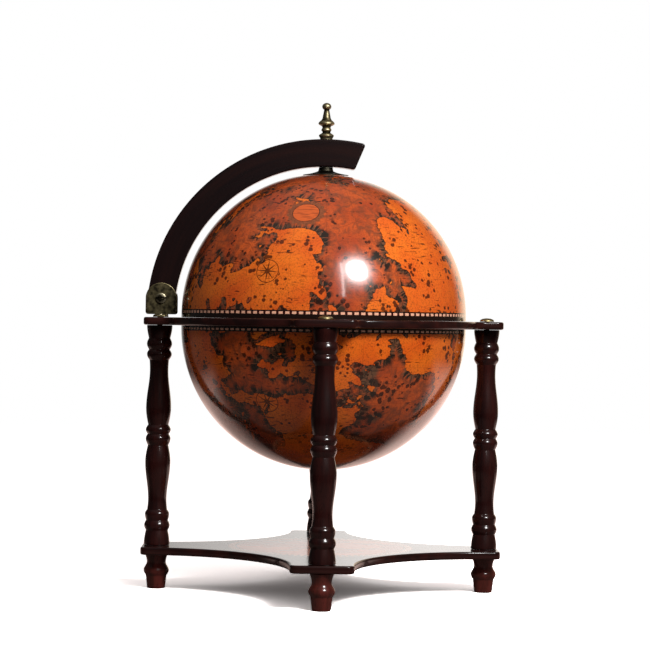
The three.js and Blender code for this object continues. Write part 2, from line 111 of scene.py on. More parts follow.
def round_chart(tree, wood):
    """A round paper chart laid on the shelf: an invented polar map in orange and brown with rings and
    spokes, a dark band inside its coasts, and a chequered border. Its rules are drawn coarser than print,
    so that they show. Round it and below it the wood stays as it is."""
    place = add_node(tree, "TexCoord")["Object"]
    inked = add_node(tree, "VectorMath", {"operation": "SCALE"}, {0: place, "Scale": 1 / MM})[0]
    axes = add_node(tree, "SeparateXYZ", (), {0: inked})
    flat = add_node(tree, "CombineXYZ", (), {0: axes[0], 1: axes[1]})[0]
    radius = add_node(tree, "VectorMath", {"operation": "LENGTH"}, {0: flat})["Value"]
    turn = add_node(tree, "Math", {"operation": "ARCTAN2"}, {0: axes[1], 1: axes[0]})[0]

    # Sea and land, with a coast line and a band of shading inside it
    field = add_node(tree, "TexNoise", (), {
        "Vector": flat, "Scale": 1 / 55, "Detail": 7, "Roughness": 0.6, "Distortion": 0.5})[0]
    on_land = add_node(tree, "MapRange", (), {"Value": field, "From Min": 0.5, "From Max": 0.503})[0]
    inland = add_node(tree, "MapRange", (), {
        "Value": field, "From Min": 0.5, "From Max": 0.56, "To Min": 0.6, "To Max": 0})[0]
    soil = add_node(tree, "Mix", {"data_type": "RGBA"}, {
        0: inland, 6: linear("#8A3A1A"), 7: linear("#3C241A")})[2]
    ground = add_node(tree, "Mix", {"data_type": "RGBA"}, {0: on_land, 6: linear("#A64916"), 7: soil})[2]

    # Rings and spokes, rules on both sides of the border, and boxes between them
    fine_line = 0.25
    rule_half_width = 1.2
    lines = []
    ring = add_node(tree, "Math", {"operation": "PINGPONG"}, {0: radius, 1: CHART_BORDER / CHART_RINGS})[0]
    spoke = add_node(tree, "Math", {"operation": "PINGPONG"}, {0: turn, 1: math.pi / CHART_SPOKES})[0]
    aside = add_node(tree, "Math", {"operation": "MULTIPLY"}, {0: spoke, 1: radius})[0]
    for away in (ring, aside):
        lines.append(add_node(tree, "Math", {"operation": "LESS_THAN"}, {0: away, 1: fine_line})[0])
    for rule in (CHART_BORDER, CHART_RADIUS):
        lines.append(add_node(tree, "Math", {"operation": "COMPARE"}, {
            0: radius, 1: rule, 2: rule_half_width})[0])
    box = add_node(tree, "Math", {"operation": "PINGPONG"}, {0: turn, 1: math.pi / CHART_BOXES})[0]
    pale = add_node(tree, "Math", {"operation": "GREATER_THAN"}, {0: box, 1: math.pi / CHART_BOXES / 2})[0]
    boxes = add_node(tree, "Mix", {"data_type": "RGBA"}, {
        0: pale, 6: linear("#3A0E0A"), 7: linear("#C98058")})[2]
    in_border = add_node(tree, "Math", {"operation": "GREATER_THAN"}, {0: radius, 1: CHART_BORDER})[0]
    chart = add_node(tree, "Mix", {"data_type": "RGBA"}, {0: in_border, 6: ground, 7: boxes})[2]
    for ink, strength in zip(lines, (0.4, 0.4, 0.9, 0.9)):
        drawn = add_node(tree, "Math", {"operation": "MULTIPLY"}, {0: ink, 1: strength})[0]
        chart = add_node(tree, "Mix", {"data_type": "RGBA"}, {0: drawn, 6: chart, 7: linear("#2A130B")})[2]
    within = add_node(tree, "Math", {"operation": "LESS_THAN"}, {0: radius, 1: CHART_RADIUS})[0]
    on_top = add_node(tree, "Math", {"operation": "GREATER_THAN"}, {
        0: axes[2], 1: SHELF_BOTTOM + BOARD_THICKNESS / 2})[0]
    covered = add_node(tree, "Math", {"operation": "MULTIPLY"}, {0: within, 1: on_top})[0]
    return add_node(tree, "Mix", {"data_type": "RGBA"}, {0: covered, 6: wood, 7: chart})[2]


def mahogany_lacquer(name, dark, light, grain_share, coat_roughness, marks=None, laid=None):
    """Mahogany stain, dark to light, under gloss lacquer. The stain gathers in the open pores, so fine
    dark streaks run along the grain below a clear, wet-looking coat with a faint ripple. The pores are
    drawn 0.9 mm wide, coarser than real ones, so that they show. Grain_share draws the pattern out along
    each axis of the piece. With marks, it follows that attribute, in millimetres. Laid lays a print on
    the wood, under the coat."""
    material, tree = new_finish(name)
    if marks:
        place = add_node(tree, "Attribute", {"attribute_name": marks})["Vector"]
        unit = 1
    else:
        place = add_node(tree, "TexCoord")["Object"]
        unit = 1 / MM
    drawn = add_node(tree, "Mapping", (), {"Vector": place, "Scale": [unit * s for s in grain_share]})[0]
    figure = add_node(tree, "TexNoise", (), {"Vector": drawn, "Scale": 1 / 9, "Detail": 4})[0]
    pores = add_node(tree, "TexNoise", (), {"Vector": drawn, "Scale": 1 / 0.9, "Detail": 2})[0]
    streak = add_node(tree, "MapRange", (), {"Value": pores, "From Min": 0.56, "From Max": 0.7})[0]
    depth = add_node(tree, "MapRange", (), {"Value": figure, "From Min": 0.35, "From Max": 0.68})[0]
    stain = add_node(tree, "Mix", {"data_type": "RGBA"}, {
        0: depth, 6: linear(dark), 7: linear(light)})[2]
    pored = add_node(tree, "Math", {"operation": "MULTIPLY"}, {0: streak, 1: 0.6})[0]
    wood = add_node(tree, "Mix", {"data_type": "RGBA"}, {0: pored, 6: stain, 7: linear("#0E0505")})[2]
    if laid:
        wood = laid(tree, wood)
    ripple = add_node(tree, "TexNoise", (), {"Vector": drawn, "Scale": 1 / 5, "Detail": 1})[0]
    level = add_node(tree, "Bump", (), {"Height": ripple, "Strength": 0.04, "Distance": 0.2 * MM})[0]
    dull = add_node(tree, "MapRange", (), {"Value": pores, "To Min": 0.3, "To Max": 0.45})[0]
    shader = add_node(tree, "BsdfPrincipled", (), {
        "Base Color": wood, "Roughness": dull, "Specular IOR Level": 0.1, "IOR": 1.5, "Normal": level,
        "Coat Weight": 0.8, "Coat Roughness": coat_roughness, "Coat IOR": 1.5, "Coat Normal": level})[0]
    add_node(tree, "OutputMaterial", (), {"Surface": shader})
    return material


def shape(name, points, faces, crease=CREASE, **marks):
    """A mesh object from points in millimetres and arrays of faces, with one array of marks for each
    attribute. Points that coincide are welded, which closes seams and poles. Open rims at one level are
    filled flat. An edge bent by more than crease degrees is sharp."""
    mesh = bpy.data.meshes.new(name)
    corners = np.concatenate([part.ravel() for part in faces])
    sizes = np.concatenate([np.full(len(part), part.shape[1]) for part in faces])
    mesh.vertices.add(len(points))
    mesh.vertices.foreach_set("co", (points * MM).astype(np.float32).ravel())
    mesh.loops.add(len(corners))
    mesh.loops.foreach_set("vertex_index", corners.astype(np.int32))
    mesh.polygons.add(len(sizes))
    mesh.polygons.foreach_set("loop_start", (np.cumsum(sizes) - sizes).astype(np.int32))
    for mark, values in marks.items():
        mesh.attributes.new(mark, "FLOAT", "POINT").data.foreach_set("value", values.astype(np.float32))
    mesh.update(calc_edges=True)
    work = bmesh.new()
    work.from_mesh(mesh)
    bmesh.ops.remove_doubles(work, verts=work.verts, dist=0.001 * MM)
    rims = [edge for edge in work.edges if edge.is_boundary]
    for level in sorted({round(edge.verts[0].co.z, 6) for edge in rims}):
        loop = [edge for edge in rims if round(edge.verts[0].co.z, 6) == level]
        bmesh.ops.triangle_fill(work, use_beauty=True, edges=loop)
    if rims:
        bmesh.ops.recalc_face_normals(work, faces=work.faces)
    work.to_mesh(mesh)
    work.free()
    mesh.shade_smooth()
    mesh.set_sharp_from_angle(angle=math.radians(crease))
    piece = bpy.data.objects.new(name, mesh)
    bpy.context.scene.collection.objects.link(piece)
    return piece


def wrapped(rows, columns):
    """The quads of a grid of points whose columns close into rings, facing outwards when the rows
    climb."""
    row, column = np.meshgrid(np.arange(rows - 1), np.arange(columns), indexing="ij")
    beside = (column + 1) % columns
    quads = [row * columns + column, row * columns + beside]
    quads += [(row + 1) * columns + beside, (row + 1) * columns + column]
    return np.stack(quads, axis=-1).reshape(-1, 4)


def arc(x, y, radius, start, end, step=1.5):
    """Points x + r cos a, y + r sin a, for angles from start to end about one step apart along the
    arc."""
    count = max(2, math.ceil(radius * abs(end - start) / step) + 1)
    angle = np.linspace(start, end, count)
    return np.stack([x + radius * np.cos(angle), y + radius * np.sin(angle)], axis=-1)


def slab(name, outline, holes, low, high, ease):
    """A board from low to high. Its section, a quarter round of radius ease at each edge, is carried
    round the outline and round each hole: at turn t it is inset by ease (1 - sin t) at height ease (1 -
    cos t). Its wear mark is highest in the middle of each rounded edge."""
    turn = np.linspace(0, np.pi / 2, 7)
    rise = np.stack([ease * (1 - np.sin(turn)), low + ease * (1 - np.cos(turn))], axis=-1)
    rise = np.concatenate([[[2 * ease, low]], rise])
    section = np.concatenate([rise, rise[::-1] * [1, -1] + [0, low + high]])
    rounds = np.sin(2 * turn[1:-1])
    edge = np.concatenate([[0, 0], rounds, [0.6, 0.6], rounds[::-1], [0, 0]])
    points, faces, marks, start = [], [], [], 0
    for loop in [outline, *holes]:
        along = np.roll(loop, -1, axis=0) - np.roll(loop, 1, axis=0)
        out = np.stack([along[:, 1], -along[:, 0]], axis=-1) / np.linalg.norm(along, axis=1, keepdims=True)
        flat = loop[None] - out[None] * section[:, None, :1]
        level = np.broadcast_to(section[:, None, 1:], (*flat.shape[:2], 1))
        points.append(np.concatenate([flat, level], axis=-1).reshape(-1, 3))
        faces.append(wrapped(len(section), len(loop)) + start)
        marks.append(np.repeat(edge, len(loop)))
        start += len(section) * len(loop)
    return shape(name, np.concatenate(points), faces, wear=np.concatenate(marks))


def hole(x, y, radius, step=1.5):
    """A round hole's loop, run clockwise so that its wall faces into the hole."""
    return arc(x, y, radius, 2 * np.pi, 0, step)[:-1]


def board_outline(between):
    """Four corners with rounded ends, joined by the points between two of them: a quarter turned four
    times."""
    centre = CORNER_REACH - CORNER_ROUNDING
    rise = CORNER_HALF_WIDTH - CORNER_ROUNDING
    quarter = np.concatenate([
        arc(centre, -rise, CORNER_ROUNDING, -np.pi / 2, 0),
        arc(centre, rise, CORNER_ROUNDING, 0, np.pi / 2),
        between,
    ])
    turned = [quarter @ np.array([[c, s], [-s, c]]) for c, s in ((1, 0), (0, 1), (-1, 0), (0, -1))]
    return np.concatenate(turned)


def fit(piece, body, node, slot, *finishes):
    """The piece takes its finishes, rides on its body and stands for its CAD node, which it hides. The
    slot is not used.
    """
    for finish in finishes:
        piece.data.materials.append(finish)
    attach(piece, body)
    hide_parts(node)


STAND_SIDES = {
    "right": (LEG_CIRCLE, 0), "back": (0, LEG_CIRCLE), "left": (-LEG_CIRCLE, 0), "front": (0, -LEG_CIRCLE)}

shelf_mahogany = mahogany_lacquer(
    "stained_mahogany_shelf", "#1D0B0A", "#34130F", (0.05, 1, 1), 0.12, laid=round_chart)
sweep_centre = CORNER_REACH - CORNER_ROUNDING
sweep = arc(sweep_centre, sweep_centre, sweep_centre - CORNER_HALF_WIDTH, -np.pi / 2, -np.pi)[1:-1]
stud_holes = [hole(x, y, STUD_BORE, BORE_STEP) for x, y in STAND_SIDES.values()]
shelf_top = SHELF_BOTTOM + BOARD_THICKNESS
shelf = slab("shelf_board", board_outline(sweep), stud_holes, SHELF_BOTTOM, shelf_top, ROUTED_EDGE)
fit(shelf, "stand", "lower_shelf", "dark_wood", shelf_mahogany)


# Feet: four short turnings under the shelf, a bead over a waist and a plain drum, cut flat below.
# They are rubberwood turned on a copy lathe, sanded, stained and lacquered, and drilled for the stud.

FIT = 0.3
STUD_GRIP = 20
FOOT_HEIGHT = SHELF_BOTTOM - FIT
FOOT_RADIUS = 14.7
FOOT_SHARES = [(0, 0.7, 0), (0.366, 0.82, 0), (0.512, 1, 1), (0.74, 0.75, 1), (1, 0.945, 0)]
TURNED_SIDES = 64
END_EASE = 0.8
END_ROWS = 4


def turning(station_shares, height, radius, step=0.25, sanded=0.25):
    """The outline of a turning, as radius and height. Between two stations the radius follows half a
    cosine if both are round, a quarter of a sine that is level at the round one if one is, and else a
    straight line. Sanding rounds the grooves: the radius is averaged over that many millimetres to both
    sides."""
    heights, radii = [], []
    for (low, start, start_round), (high, end, end_round) in zip(station_shares, station_shares[1:]):
        t = np.linspace(0, 1, max(3, round((high - low) * height / step)), endpoint=False)
        bend = t
        if start_round and end_round:
            bend = (1 - np.cos(np.pi * t)) / 2
        elif start_round:
            bend = 1 - np.cos(np.pi * t / 2)
        elif end_round:
            bend = np.sin(np.pi * t / 2)
        radii.append((start + (end - start) * bend) * radius)
        heights.append((low + (high - low) * t) * height)
    level = np.arange(0, height, step)
    width = np.interp(level, np.append(np.concatenate(heights), height),
                      np.append(np.concatenate(radii), station_shares[-1][1] * radius))
    window = max(1, round(sanded / step)) * 2 + 1
    padded = np.pad(width, window // 2, mode="edge")
    width = np.convolve(padded, np.full(window, 1 / window), mode="valid")
    return np.stack([np.append(width, width[-1]), np.append(level, height)], axis=-1)


def lathe(name, outline, sides, x=0, y=0):
    """A turned piece: each [radius, height] of the outline becomes a ring about the axis at x, y. Its
    wear mark is how far the outline stands out from its own average, so crowns are 1 and hollows -1."""
    outline = np.asarray(outline, float)
    angle = np.arange(sides) * 2 * np.pi / sides
    ring = np.stack([np.cos(angle), np.sin(angle)], axis=-1)
    flat = outline[:, None, :1] * ring[None] + [x, y]
    level = np.broadcast_to(outline[:, None, 1:], (*flat.shape[:2], 1))
    points = np.concatenate([flat, level], axis=-1).reshape(-1, 3)
    wear = np.repeat(stand_out(outline), sides)
    return shape(name, points, [wrapped(len(outline), sides)], wear=wear)


def stand_out(outline, window=3.0, step=0.2, full=0.8):
    """How far each point's radius is over the average radius within window millimetres along the outline.
    It is 1 where that is full millimetres or more."""
    steps = np.linalg.norm(np.diff(outline, axis=0), axis=1)
    run = np.concatenate([[0], np.cumsum(steps)])
    even = np.arange(0, run[-1], step)
    radius = np.interp(even, run, outline[:, 0])
    count = round(window / step) * 2 + 1
    average = np.convolve(np.pad(radius, count // 2, mode="edge"), np.full(count, 1 / count), mode="valid")
    return np.clip(np.interp(run, even, radius - average) / full, -1, 1)


def eased_end(radius, height, ease, upward):
    """The last points of an outline that closes onto a flat end over a small round edge."""
    turn = np.linspace(0, np.pi / 2, 6)
    across = radius - ease * (1 - np.cos(turn))
    up = height - ease + ease * np.sin(turn) if upward else height + ease - ease * np.sin(turn)
    return np.stack([across, up], axis=-1)


# Painted light: the feet take a lighter, redder copy of the legs' stain, for the bright floor's light and
# reflection on them
foot_mahogany_painted_light = mahogany_lacquer("mahogany_foot_painted_light", "#3D1913", "#602620", (1, 1, 0.05), 0.06)
foot_side = turning(FOOT_SHARES, FOOT_HEIGHT, FOOT_RADIUS)
foot_outline = np.concatenate([
    [[0, 0]],
    eased_end(foot_side[0, 0], 0, END_EASE, False)[::-1],
    foot_side[END_ROWS:-END_ROWS],
    eased_end(foot_side[-1, 0], FOOT_HEIGHT, END_EASE, True),
    [[STUD_BORE, FOOT_HEIGHT], [STUD_BORE, FOOT_HEIGHT - STUD_GRIP], [0, FOOT_HEIGHT - STUD_GRIP]],
])
for side, (x, y) in STAND_SIDES.items():
    foot = lathe(f"turned_foot_{side}", foot_outline, TURNED_SIDES, x, y)
    fit(foot, "stand", f"foot_{side}", "dark_wood", foot_mahogany_painted_light)


# Legs: four turnings between the shelf and the horizon board, two opposed vases between groups of beads.
# Each is one length of rubberwood, copy-turned, sanded, stained and lacquered, and drilled at both ends.

LEG_BOTTOM = 50.3
LEG_HEIGHT = 254.4
LEG_RADIUS = 15
LEG_SHARES = [
    (0, 1, 1), (0.066, 0.853, 0), (0.088, 0.987, 1), (0.111, 0.847, 0), (0.14, 0.94, 1), (0.16, 0.773, 0),
    (0.206, 0.713, 1), (0.378, 0.973, 1), (0.453, 0.793, 0), (0.484, 0.96, 1), (0.504, 0.82, 0),
    (0.524, 0.967, 1), (0.546, 0.78, 0), (0.624, 0.967, 1), (0.796, 0.713, 1), (0.841, 0.747, 0),
    (0.868, 0.96, 1), (0.889, 0.8, 0), (0.915, 0.973, 1), (0.941, 0.827, 0), (1, 0.985, 1),
]

turned_mahogany = mahogany_lacquer("stained_mahogany_turning", "#1A0909", "#32120F", (1, 1, 0.05), 0.06)
leg_side = turning(LEG_SHARES, LEG_HEIGHT, LEG_RADIUS)
leg_outline = np.concatenate([
    [[0, STUD_GRIP], [STUD_BORE, STUD_GRIP], [STUD_BORE, 0]],
    eased_end(leg_side[0, 0], 0, END_EASE, False)[::-1],
    leg_side[END_ROWS:-END_ROWS],
    eased_end(leg_side[-1, 0], LEG_HEIGHT, END_EASE, True),
    [[STUD_BORE, LEG_HEIGHT], [STUD_BORE, LEG_HEIGHT - STUD_GRIP], [0, LEG_HEIGHT - STUD_GRIP]],
]) + [0, LEG_BOTTOM]
for side, (x, y) in STAND_SIDES.items():
    leg = lathe(f"turned_leg_{side}", leg_outline, TURNED_SIDES, x, y)
    fit(leg, "stand", f"leg_{side}", "dark_wood", turned_mahogany)


# Leg studs: zinc-plated steel rods with a rolled thread, screwed into foot and leg through the shelf.
# They are cut from long threaded bar, so their ends are plain.

STUD_RADIUS = 3
STUD_LOW = 21
STUD_HIGH = 70
STUD_PITCH = 1


def zinc_plate(name):
    """Bright zinc on steel: cool grey metal with a soft, slightly cloudy shine."""
    material, tree = new_finish(name)
    place = add_node(tree, "TexCoord")["Object"]
    cloud = add_node(tree, "TexNoise", (), {"Vector": place, "Scale": 1 / (3 * MM), "Detail": 4})[0]
    tone = add_node(tree, "Mix", {"data_type": "RGBA"}, {
        0: cloud, 6: linear("#8E8F8C"), 7: linear("#C2C2BC")})[2]
    dull = add_node(tree, "MapRange", (), {"Value": cloud, "To Min": 0.25, "To Max": 0.5})[0]
    shader = add_node(tree, "BsdfPrincipled", (), {
        "Base Color": tone, "Metallic": 1, "Roughness": dull})[0]
    add_node(tree, "OutputMaterial", (), {"Surface": shader})
    return material


def threaded_rod(name, radius, low, high, pitch, x=0, y=0, sides=24, rows_a_pitch=6):
    """A threaded rod. Its radius at height z and turn a falls by the thread's depth, 0.6 of its pitch,
    along a triangle wave of z / pitch - a, which winds one ridge up the rod and dies out at both plain
    ends."""
    depth = 0.6 * pitch
    rows = round((high - low) / pitch * rows_a_pitch) + 1
    level = np.linspace(low, high, rows)
    angle = np.arange(sides) * 2 * np.pi / sides
    phase = level[:, None] / pitch - angle[None] / (2 * np.pi)
    wave = np.abs(2 * (phase % 1) - 1)
    ends = np.clip(np.minimum(level - low, high - level) / pitch, 0, 1)[:, None]
    reach = radius - depth * (1 - ends) - depth * ends * wave
    height = np.broadcast_to(level[:, None], reach.shape)
    wall = np.stack([x + reach * np.cos(angle), y + reach * np.sin(angle), height], axis=-1)
    low_centre = np.broadcast_to([x, y, low], (1, sides, 3))
    high_centre = np.broadcast_to([x, y, high], (1, sides, 3))
    points = np.concatenate([low_centre, wall, high_centre]).reshape(-1, 3)
    return shape(name, points, [wrapped(rows + 2, sides)])


zinc = zinc_plate("zinc_plated_steel")
for side, (x, y) in STAND_SIDES.items():
    stud = threaded_rod(f"threaded_stud_{side}", STUD_RADIUS, STUD_LOW, STUD_HIGH, STUD_PITCH, x, y)
    fit(stud, "stand", f"leg_stud_{side}", "zinc_steel", zinc)


# Horizon board: the top board that the ball sits in, with a round rim between its corners and a wide
# mouth. It is made and finished as the shelf is, and drilled for the cap bolts and the small screws.

BOARD_BOTTOM = 305
BOARD_TOP = BOARD_BOTTOM + BOARD_THICKNESS
MOUTH_RADIUS = 149
BOARD_RIM = 179
BOARD_FILLET = 14
TAB_SCREW_X = -188.14
TAB_SCREW_Y = 18.3
SCREW_BORE = 1.8
SCREW_BORE_STEP = 0.4

board_mahogany = mahogany_lacquer("stained_mahogany_board", "#1D0B0A", "#34130F", (0.05, 1, 1), 0.12)
fillet_up = CORNER_HALF_WIDTH + BOARD_FILLET
fillet_along = math.sqrt((BOARD_RIM + BOARD_FILLET) ** 2 - fillet_up ** 2)
lean = math.atan2(fillet_up, fillet_along)
round_rim = np.concatenate([
    arc(fillet_along, fillet_up, BOARD_FILLET, -np.pi / 2, lean - np.pi),
    arc(0, 0, BOARD_RIM, lean, np.pi / 2 - lean)[1:-1],
    arc(fillet_up, fillet_along, BOARD_FILLET, -np.pi / 2 - lean, -np.pi),
])
board_holes = [hole(0, 0, MOUTH_RADIUS)]
board_holes += [hole(x, y, STUD_BORE, BORE_STEP) for x, y in STAND_SIDES.values()]
board_holes += [hole(TAB_SCREW_X, y, SCREW_BORE, SCREW_BORE_STEP) for y in (-TAB_SCREW_Y, TAB_SCREW_Y)]
board = slab("horizon_top", board_outline(round_rim), board_holes, BOARD_BOTTOM, BOARD_TOP, ROUTED_EDGE)
fit(board, "stand", "horizon_board", "dark_wood", board_mahogany)


# Cap bolts: brass bolts through the board into each leg, with a low domed head as the only thing that
# shows. The heads were turned, then darkened with acid and rubbed back, so that they are bright on the
# crown.

CAP_RADIUS = 8.2
CAP_EDGE = 0.8
CAP_HEIGHT = 4
CAP_SIDES = 48
SHANK_LOW = 285


def antique_brass(name, bright="#B7A577", dark="#2C2519", patina_share=0.3):
    """Antiqued brass: a brown-black patina fills the hollows and wears off the crowns and edges, where
    warm yellow metal shows. Bright metal is smoother than the patina, which covers more at a higher
    share."""
    material, tree = new_finish(name)
    place = add_node(tree, "TexCoord")["Object"]
    wear = add_node(tree, "Attribute", {"attribute_name": "wear"})["Fac"]
    mottle = add_node(tree, "TexNoise", (), {"Vector": place, "Scale": 1 / (6 * MM), "Detail": 4})[0]
    flecked = add_node(tree, "MapRange", (), {"Value": mottle, "To Min": 0.08, "To Max": 0.92})[0]
    rubbed = add_node(tree, "Math", {"operation": "MULTIPLY_ADD"}, {0: wear, 1: 0.55, 2: flecked})[0]
    shown = add_node(tree, "MapRange", (), {
        "Value": rubbed, "From Min": patina_share, "From Max": patina_share + 0.5})[0]
    tone = add_node(tree, "Mix", {"data_type": "RGBA"}, {0: shown, 6: linear(dark), 7: linear(bright)})[2]
    dull = add_node(tree, "MapRange", (), {"Value": shown, "To Min": 0.55, "To Max": 0.44})[0]
    pits = add_node(tree, "Bump", (), {"Height": mottle, "Strength": 0.1, "Distance": 0.1 * MM})[0]
    shader = add_node(tree, "BsdfPrincipled", (), {
        "Base Color": tone, "Metallic": 1, "Roughness": dull, "Normal": pits})[0]
    add_node(tree, "OutputMaterial", (), {"Surface": shader})
    return material


def domed(radius, seat, edge, height, steps=24):
    """The outline of a domed head: a small upright edge, then a quarter ellipse to the crown on the
    axis."""
    turn = np.linspace(0, np.pi / 2, steps)
    crown = np.stack([radius * np.cos(turn), seat + edge + (height - edge) * np.sin(turn)], axis=-1)
    crown[-1, 0] = 0
    return np.concatenate([[[radius, seat]], crown])


brass = antique_brass("antiqued_brass")
cap_outline = np.concatenate([
    [[0, SHANK_LOW], [STUD_RADIUS, SHANK_LOW], [STUD_RADIUS, BOARD_TOP + FIT]],
    domed(CAP_RADIUS, BOARD_TOP + FIT, CAP_EDGE, CAP_HEIGHT),
])
for side, (x, y) in STAND_SIDES.items():
    cap = lathe(f"domed_cap_{side}", cap_outline, CAP_SIDES, x, y)
    fit(cap, "stand", f"cap_bolt_{side}", "antique_brass", brass)


# Lower bowl: half a ball of moulded fibre, lined inside, that hangs under the horizon board. It is
# covered with a printed paper map under gloss varnish, an invented old-world chart: coasts, islets, rhumb
# lines, a compass rose and an empty cartouche, with a chequered scale round the waist.

BALL_RADIUS = 165
BALL_INSIDE = 159
BOWL_CENTRE = 304.7
BALL_SIDES = 504
BALL_STEP = 2.1
LINING_STEP = 8
MAP_SEED = 29
CROSSING_WAVES = 14
COAST_ROWS = 640
ISLAND_GROUPS = 54
ISLANDS_IN_GROUP = 6
ISLAND_SPREAD = 0.08
ISLAND_RADII = (0.5, 7)
ISLAND_RAGGED = 1.6
ISLAND_SLOPE = 20
LAND_BEND = 0.06
SEA_LEVEL = 0.4
POLE_RISE = 1.5
SEARCH_PARTS = 200
PAST_WAIST = 0.1
SURFACE_BAND = 0.5
WAIST_BOXES = 136
DARK_BOX_SHARE = 0.38
ROSE_RADIUS = 14
OVAL_HALF_WIDTH = 15
OVAL_HALF_HEIGHT = 14
OVAL_SCALLOPS = 16
MAP_INK = "#2A130B"


def waves(directions, seed, first, octaves, fall):
    """A rolling field on the ball: in each octave plane waves cross in random directions, and each octave
    has twice the frequency and fall times the height of the one before."""
    random = np.random.default_rng(seed)
    total = np.zeros(len(directions))
    for octave in range(octaves):
        crossing = random.normal(size=(CROSSING_WAVES, 3))
        crossing *= first * 2 ** octave / np.linalg.norm(crossing, axis=1, keepdims=True)
        phase = random.uniform(0, 2 * np.pi, CROSSING_WAVES)
        height = fall ** octave / math.sqrt(CROSSING_WAVES / 2)
        total += height * np.cos(directions @ crossing.T + phase).sum(axis=1)
    return total


def islands(directions):
    """Over 0 on an island, where the chord to its centre is less than its ragged radius. Islands lie in
    groups."""
    random = np.random.default_rng(MAP_SEED + 7)
    groups = random.normal(size=(ISLAND_GROUPS, 1, 3))
    groups /= np.linalg.norm(groups, axis=2, keepdims=True)
    scatter = ISLAND_SPREAD * random.normal(size=(ISLAND_GROUPS, ISLANDS_IN_GROUP, 3))
    centres = (groups + scatter).reshape(-1, 3)
    centres /= np.linalg.norm(centres, axis=1, keepdims=True)
    radii = random.uniform(*ISLAND_RADII, len(centres))
    over = np.full(len(directions), -np.inf)
    for centre, radius in zip(centres, radii):
        over = np.maximum(over, radius - BALL_RADIUS * np.sqrt(np.maximum(2 - 2 * directions @ centre, 0)))
    ragged = ISLAND_RAGGED * waves(directions, MAP_SEED + 8, first=55, octaves=2, fall=0.6)
    return (over + ragged) / ISLAND_SLOPE


def land(directions):
    """Over 0 on land: a field that three slower ones bend and that rises to both poles, or an island."""
    bend = [waves(directions, MAP_SEED + 100 + axis, first=5, octaves=3, fall=0.6) for axis in range(3)]
    bent = directions + LAND_BEND * np.stack(bend, axis=-1)
    poles = POLE_RISE * np.clip(np.abs(directions[:, 2] - 0.05) - 0.25, 0, 1)
    mainland = waves(bent, MAP_SEED, first=4.2, octaves=6, fall=0.6) - SEA_LEVEL + poles
    return np.maximum(mainland, islands(directions))


def coast_points():
    """Points of the coast: where the land field changes sign along the rows and columns of an even
    grid."""
    latitude = np.linspace(-np.pi / 2, np.pi / 2, COAST_ROWS)
    longitude = np.linspace(-np.pi, np.pi, 2 * COAST_ROWS)
    up, round_ = np.meshgrid(latitude, longitude, indexing="ij")
    grid = np.stack([np.cos(up) * np.cos(round_), np.cos(up) * np.sin(round_), np.sin(up)], axis=-1)
    value = land(grid.reshape(-1, 3)).reshape(up.shape)
    found = []
    for axis in (0, 1):
        count = value.shape[axis] - 1
        here, there = value.take(range(count), axis), value.take(range(1, count + 1), axis)
        crossed = here * there < 0
        share = (here[crossed] / (here[crossed] - there[crossed]))[:, None]
        start, end = grid.take(range(count), axis)[crossed], grid.take(range(1, count + 1), axis)[crossed]
        found.append(start + (end - start) * share)
    found = np.concatenate(found)
    return found / np.linalg.norm(found, axis=1, keepdims=True)


def mark_coast(piece, centre):
    """Gives each point of a half ball the nearest point of the coast, and its distance from it in
    millimetres, over 0 on land. All the points along one line across the coast share its nearest point.
    Only the coast of the same half and a little past the waist is searched, and the points are taken in
    parts, which keeps the table of all pairs small."""
    place = np.zeros(len(piece.data.vertices) * 3, np.float32)
    piece.data.vertices.foreach_get("co", place)
    directions = place.reshape(-1, 3) / MM - [0, 0, centre]
    directions /= np.linalg.norm(directions, axis=1, keepdims=True)
    half = coasts[coasts[:, 2] * np.sign(directions[:, 2].mean()) > -PAST_WAIST]
    parts = np.array_split(directions.astype(np.float32), SEARCH_PARTS)
    nearest = half[np.concatenate([(part @ half.T).argmax(axis=1) for part in parts])]
    away = BALL_RADIUS * np.linalg.norm(directions - nearest, axis=1) * np.sign(land(directions))
    shore = (BALL_RADIUS * nearest).astype(np.float32)
    piece.data.attributes.new("shore", "FLOAT_VECTOR", "POINT").data.foreach_set("vector", shore.ravel())
    piece.data.attributes.new("coast", "FLOAT", "POINT").data.foreach_set("value", away.astype(np.float32))


def facing(azimuth, elevation, spin=0):
    """The turn that brings the ball's direction at azimuth degrees right of the front up to +Z: about X
    until its Y is 0, then about Y until its X is 0, then a spin about Z."""
    a, e = math.radians(azimuth), math.radians(elevation)
    x, y, z = math.sin(a) * math.cos(e), -math.cos(a) * math.cos(e), math.sin(e)
    return [math.atan2(y, z), -math.atan2(x, math.hypot(y, z)), math.radians(spin)]


def islets(tree, inked):
    """Islets and relief marks, at sea and inland: dots at the centres of bent cells, larger in
    clusters."""
    wobble = add_node(tree, "TexNoise", (), {"Vector": inked, "Scale": 1 / 2.5})["Color"]
    bent = add_node(tree, "VectorMath", {"operation": "MULTIPLY_ADD"}, {
        0: wobble, 1: [2.2, 2.2, 2.2], 2: inked})[0]
    cell = add_node(tree, "TexVoronoi", (), {"Vector": bent, "Scale": 1 / 6.5})
    cluster = add_node(tree, "TexNoise", (), {"Vector": inked, "Scale": 1 / 24, "Detail": 2})[0]
    crowd = add_node(tree, "MapRange", (), {
        "Value": cluster, "From Min": 0.45, "From Max": 0.62, "To Min": 0, "To Max": 0.46})[0]
    inside = add_node(tree, "Math", {"operation": "SUBTRACT"}, {0: crowd, 1: cell["Distance"]})[0]
    return add_node(tree, "MapRange", (), {"Value": inside, "From Min": -0.01, "From Max": 0.05})[0]


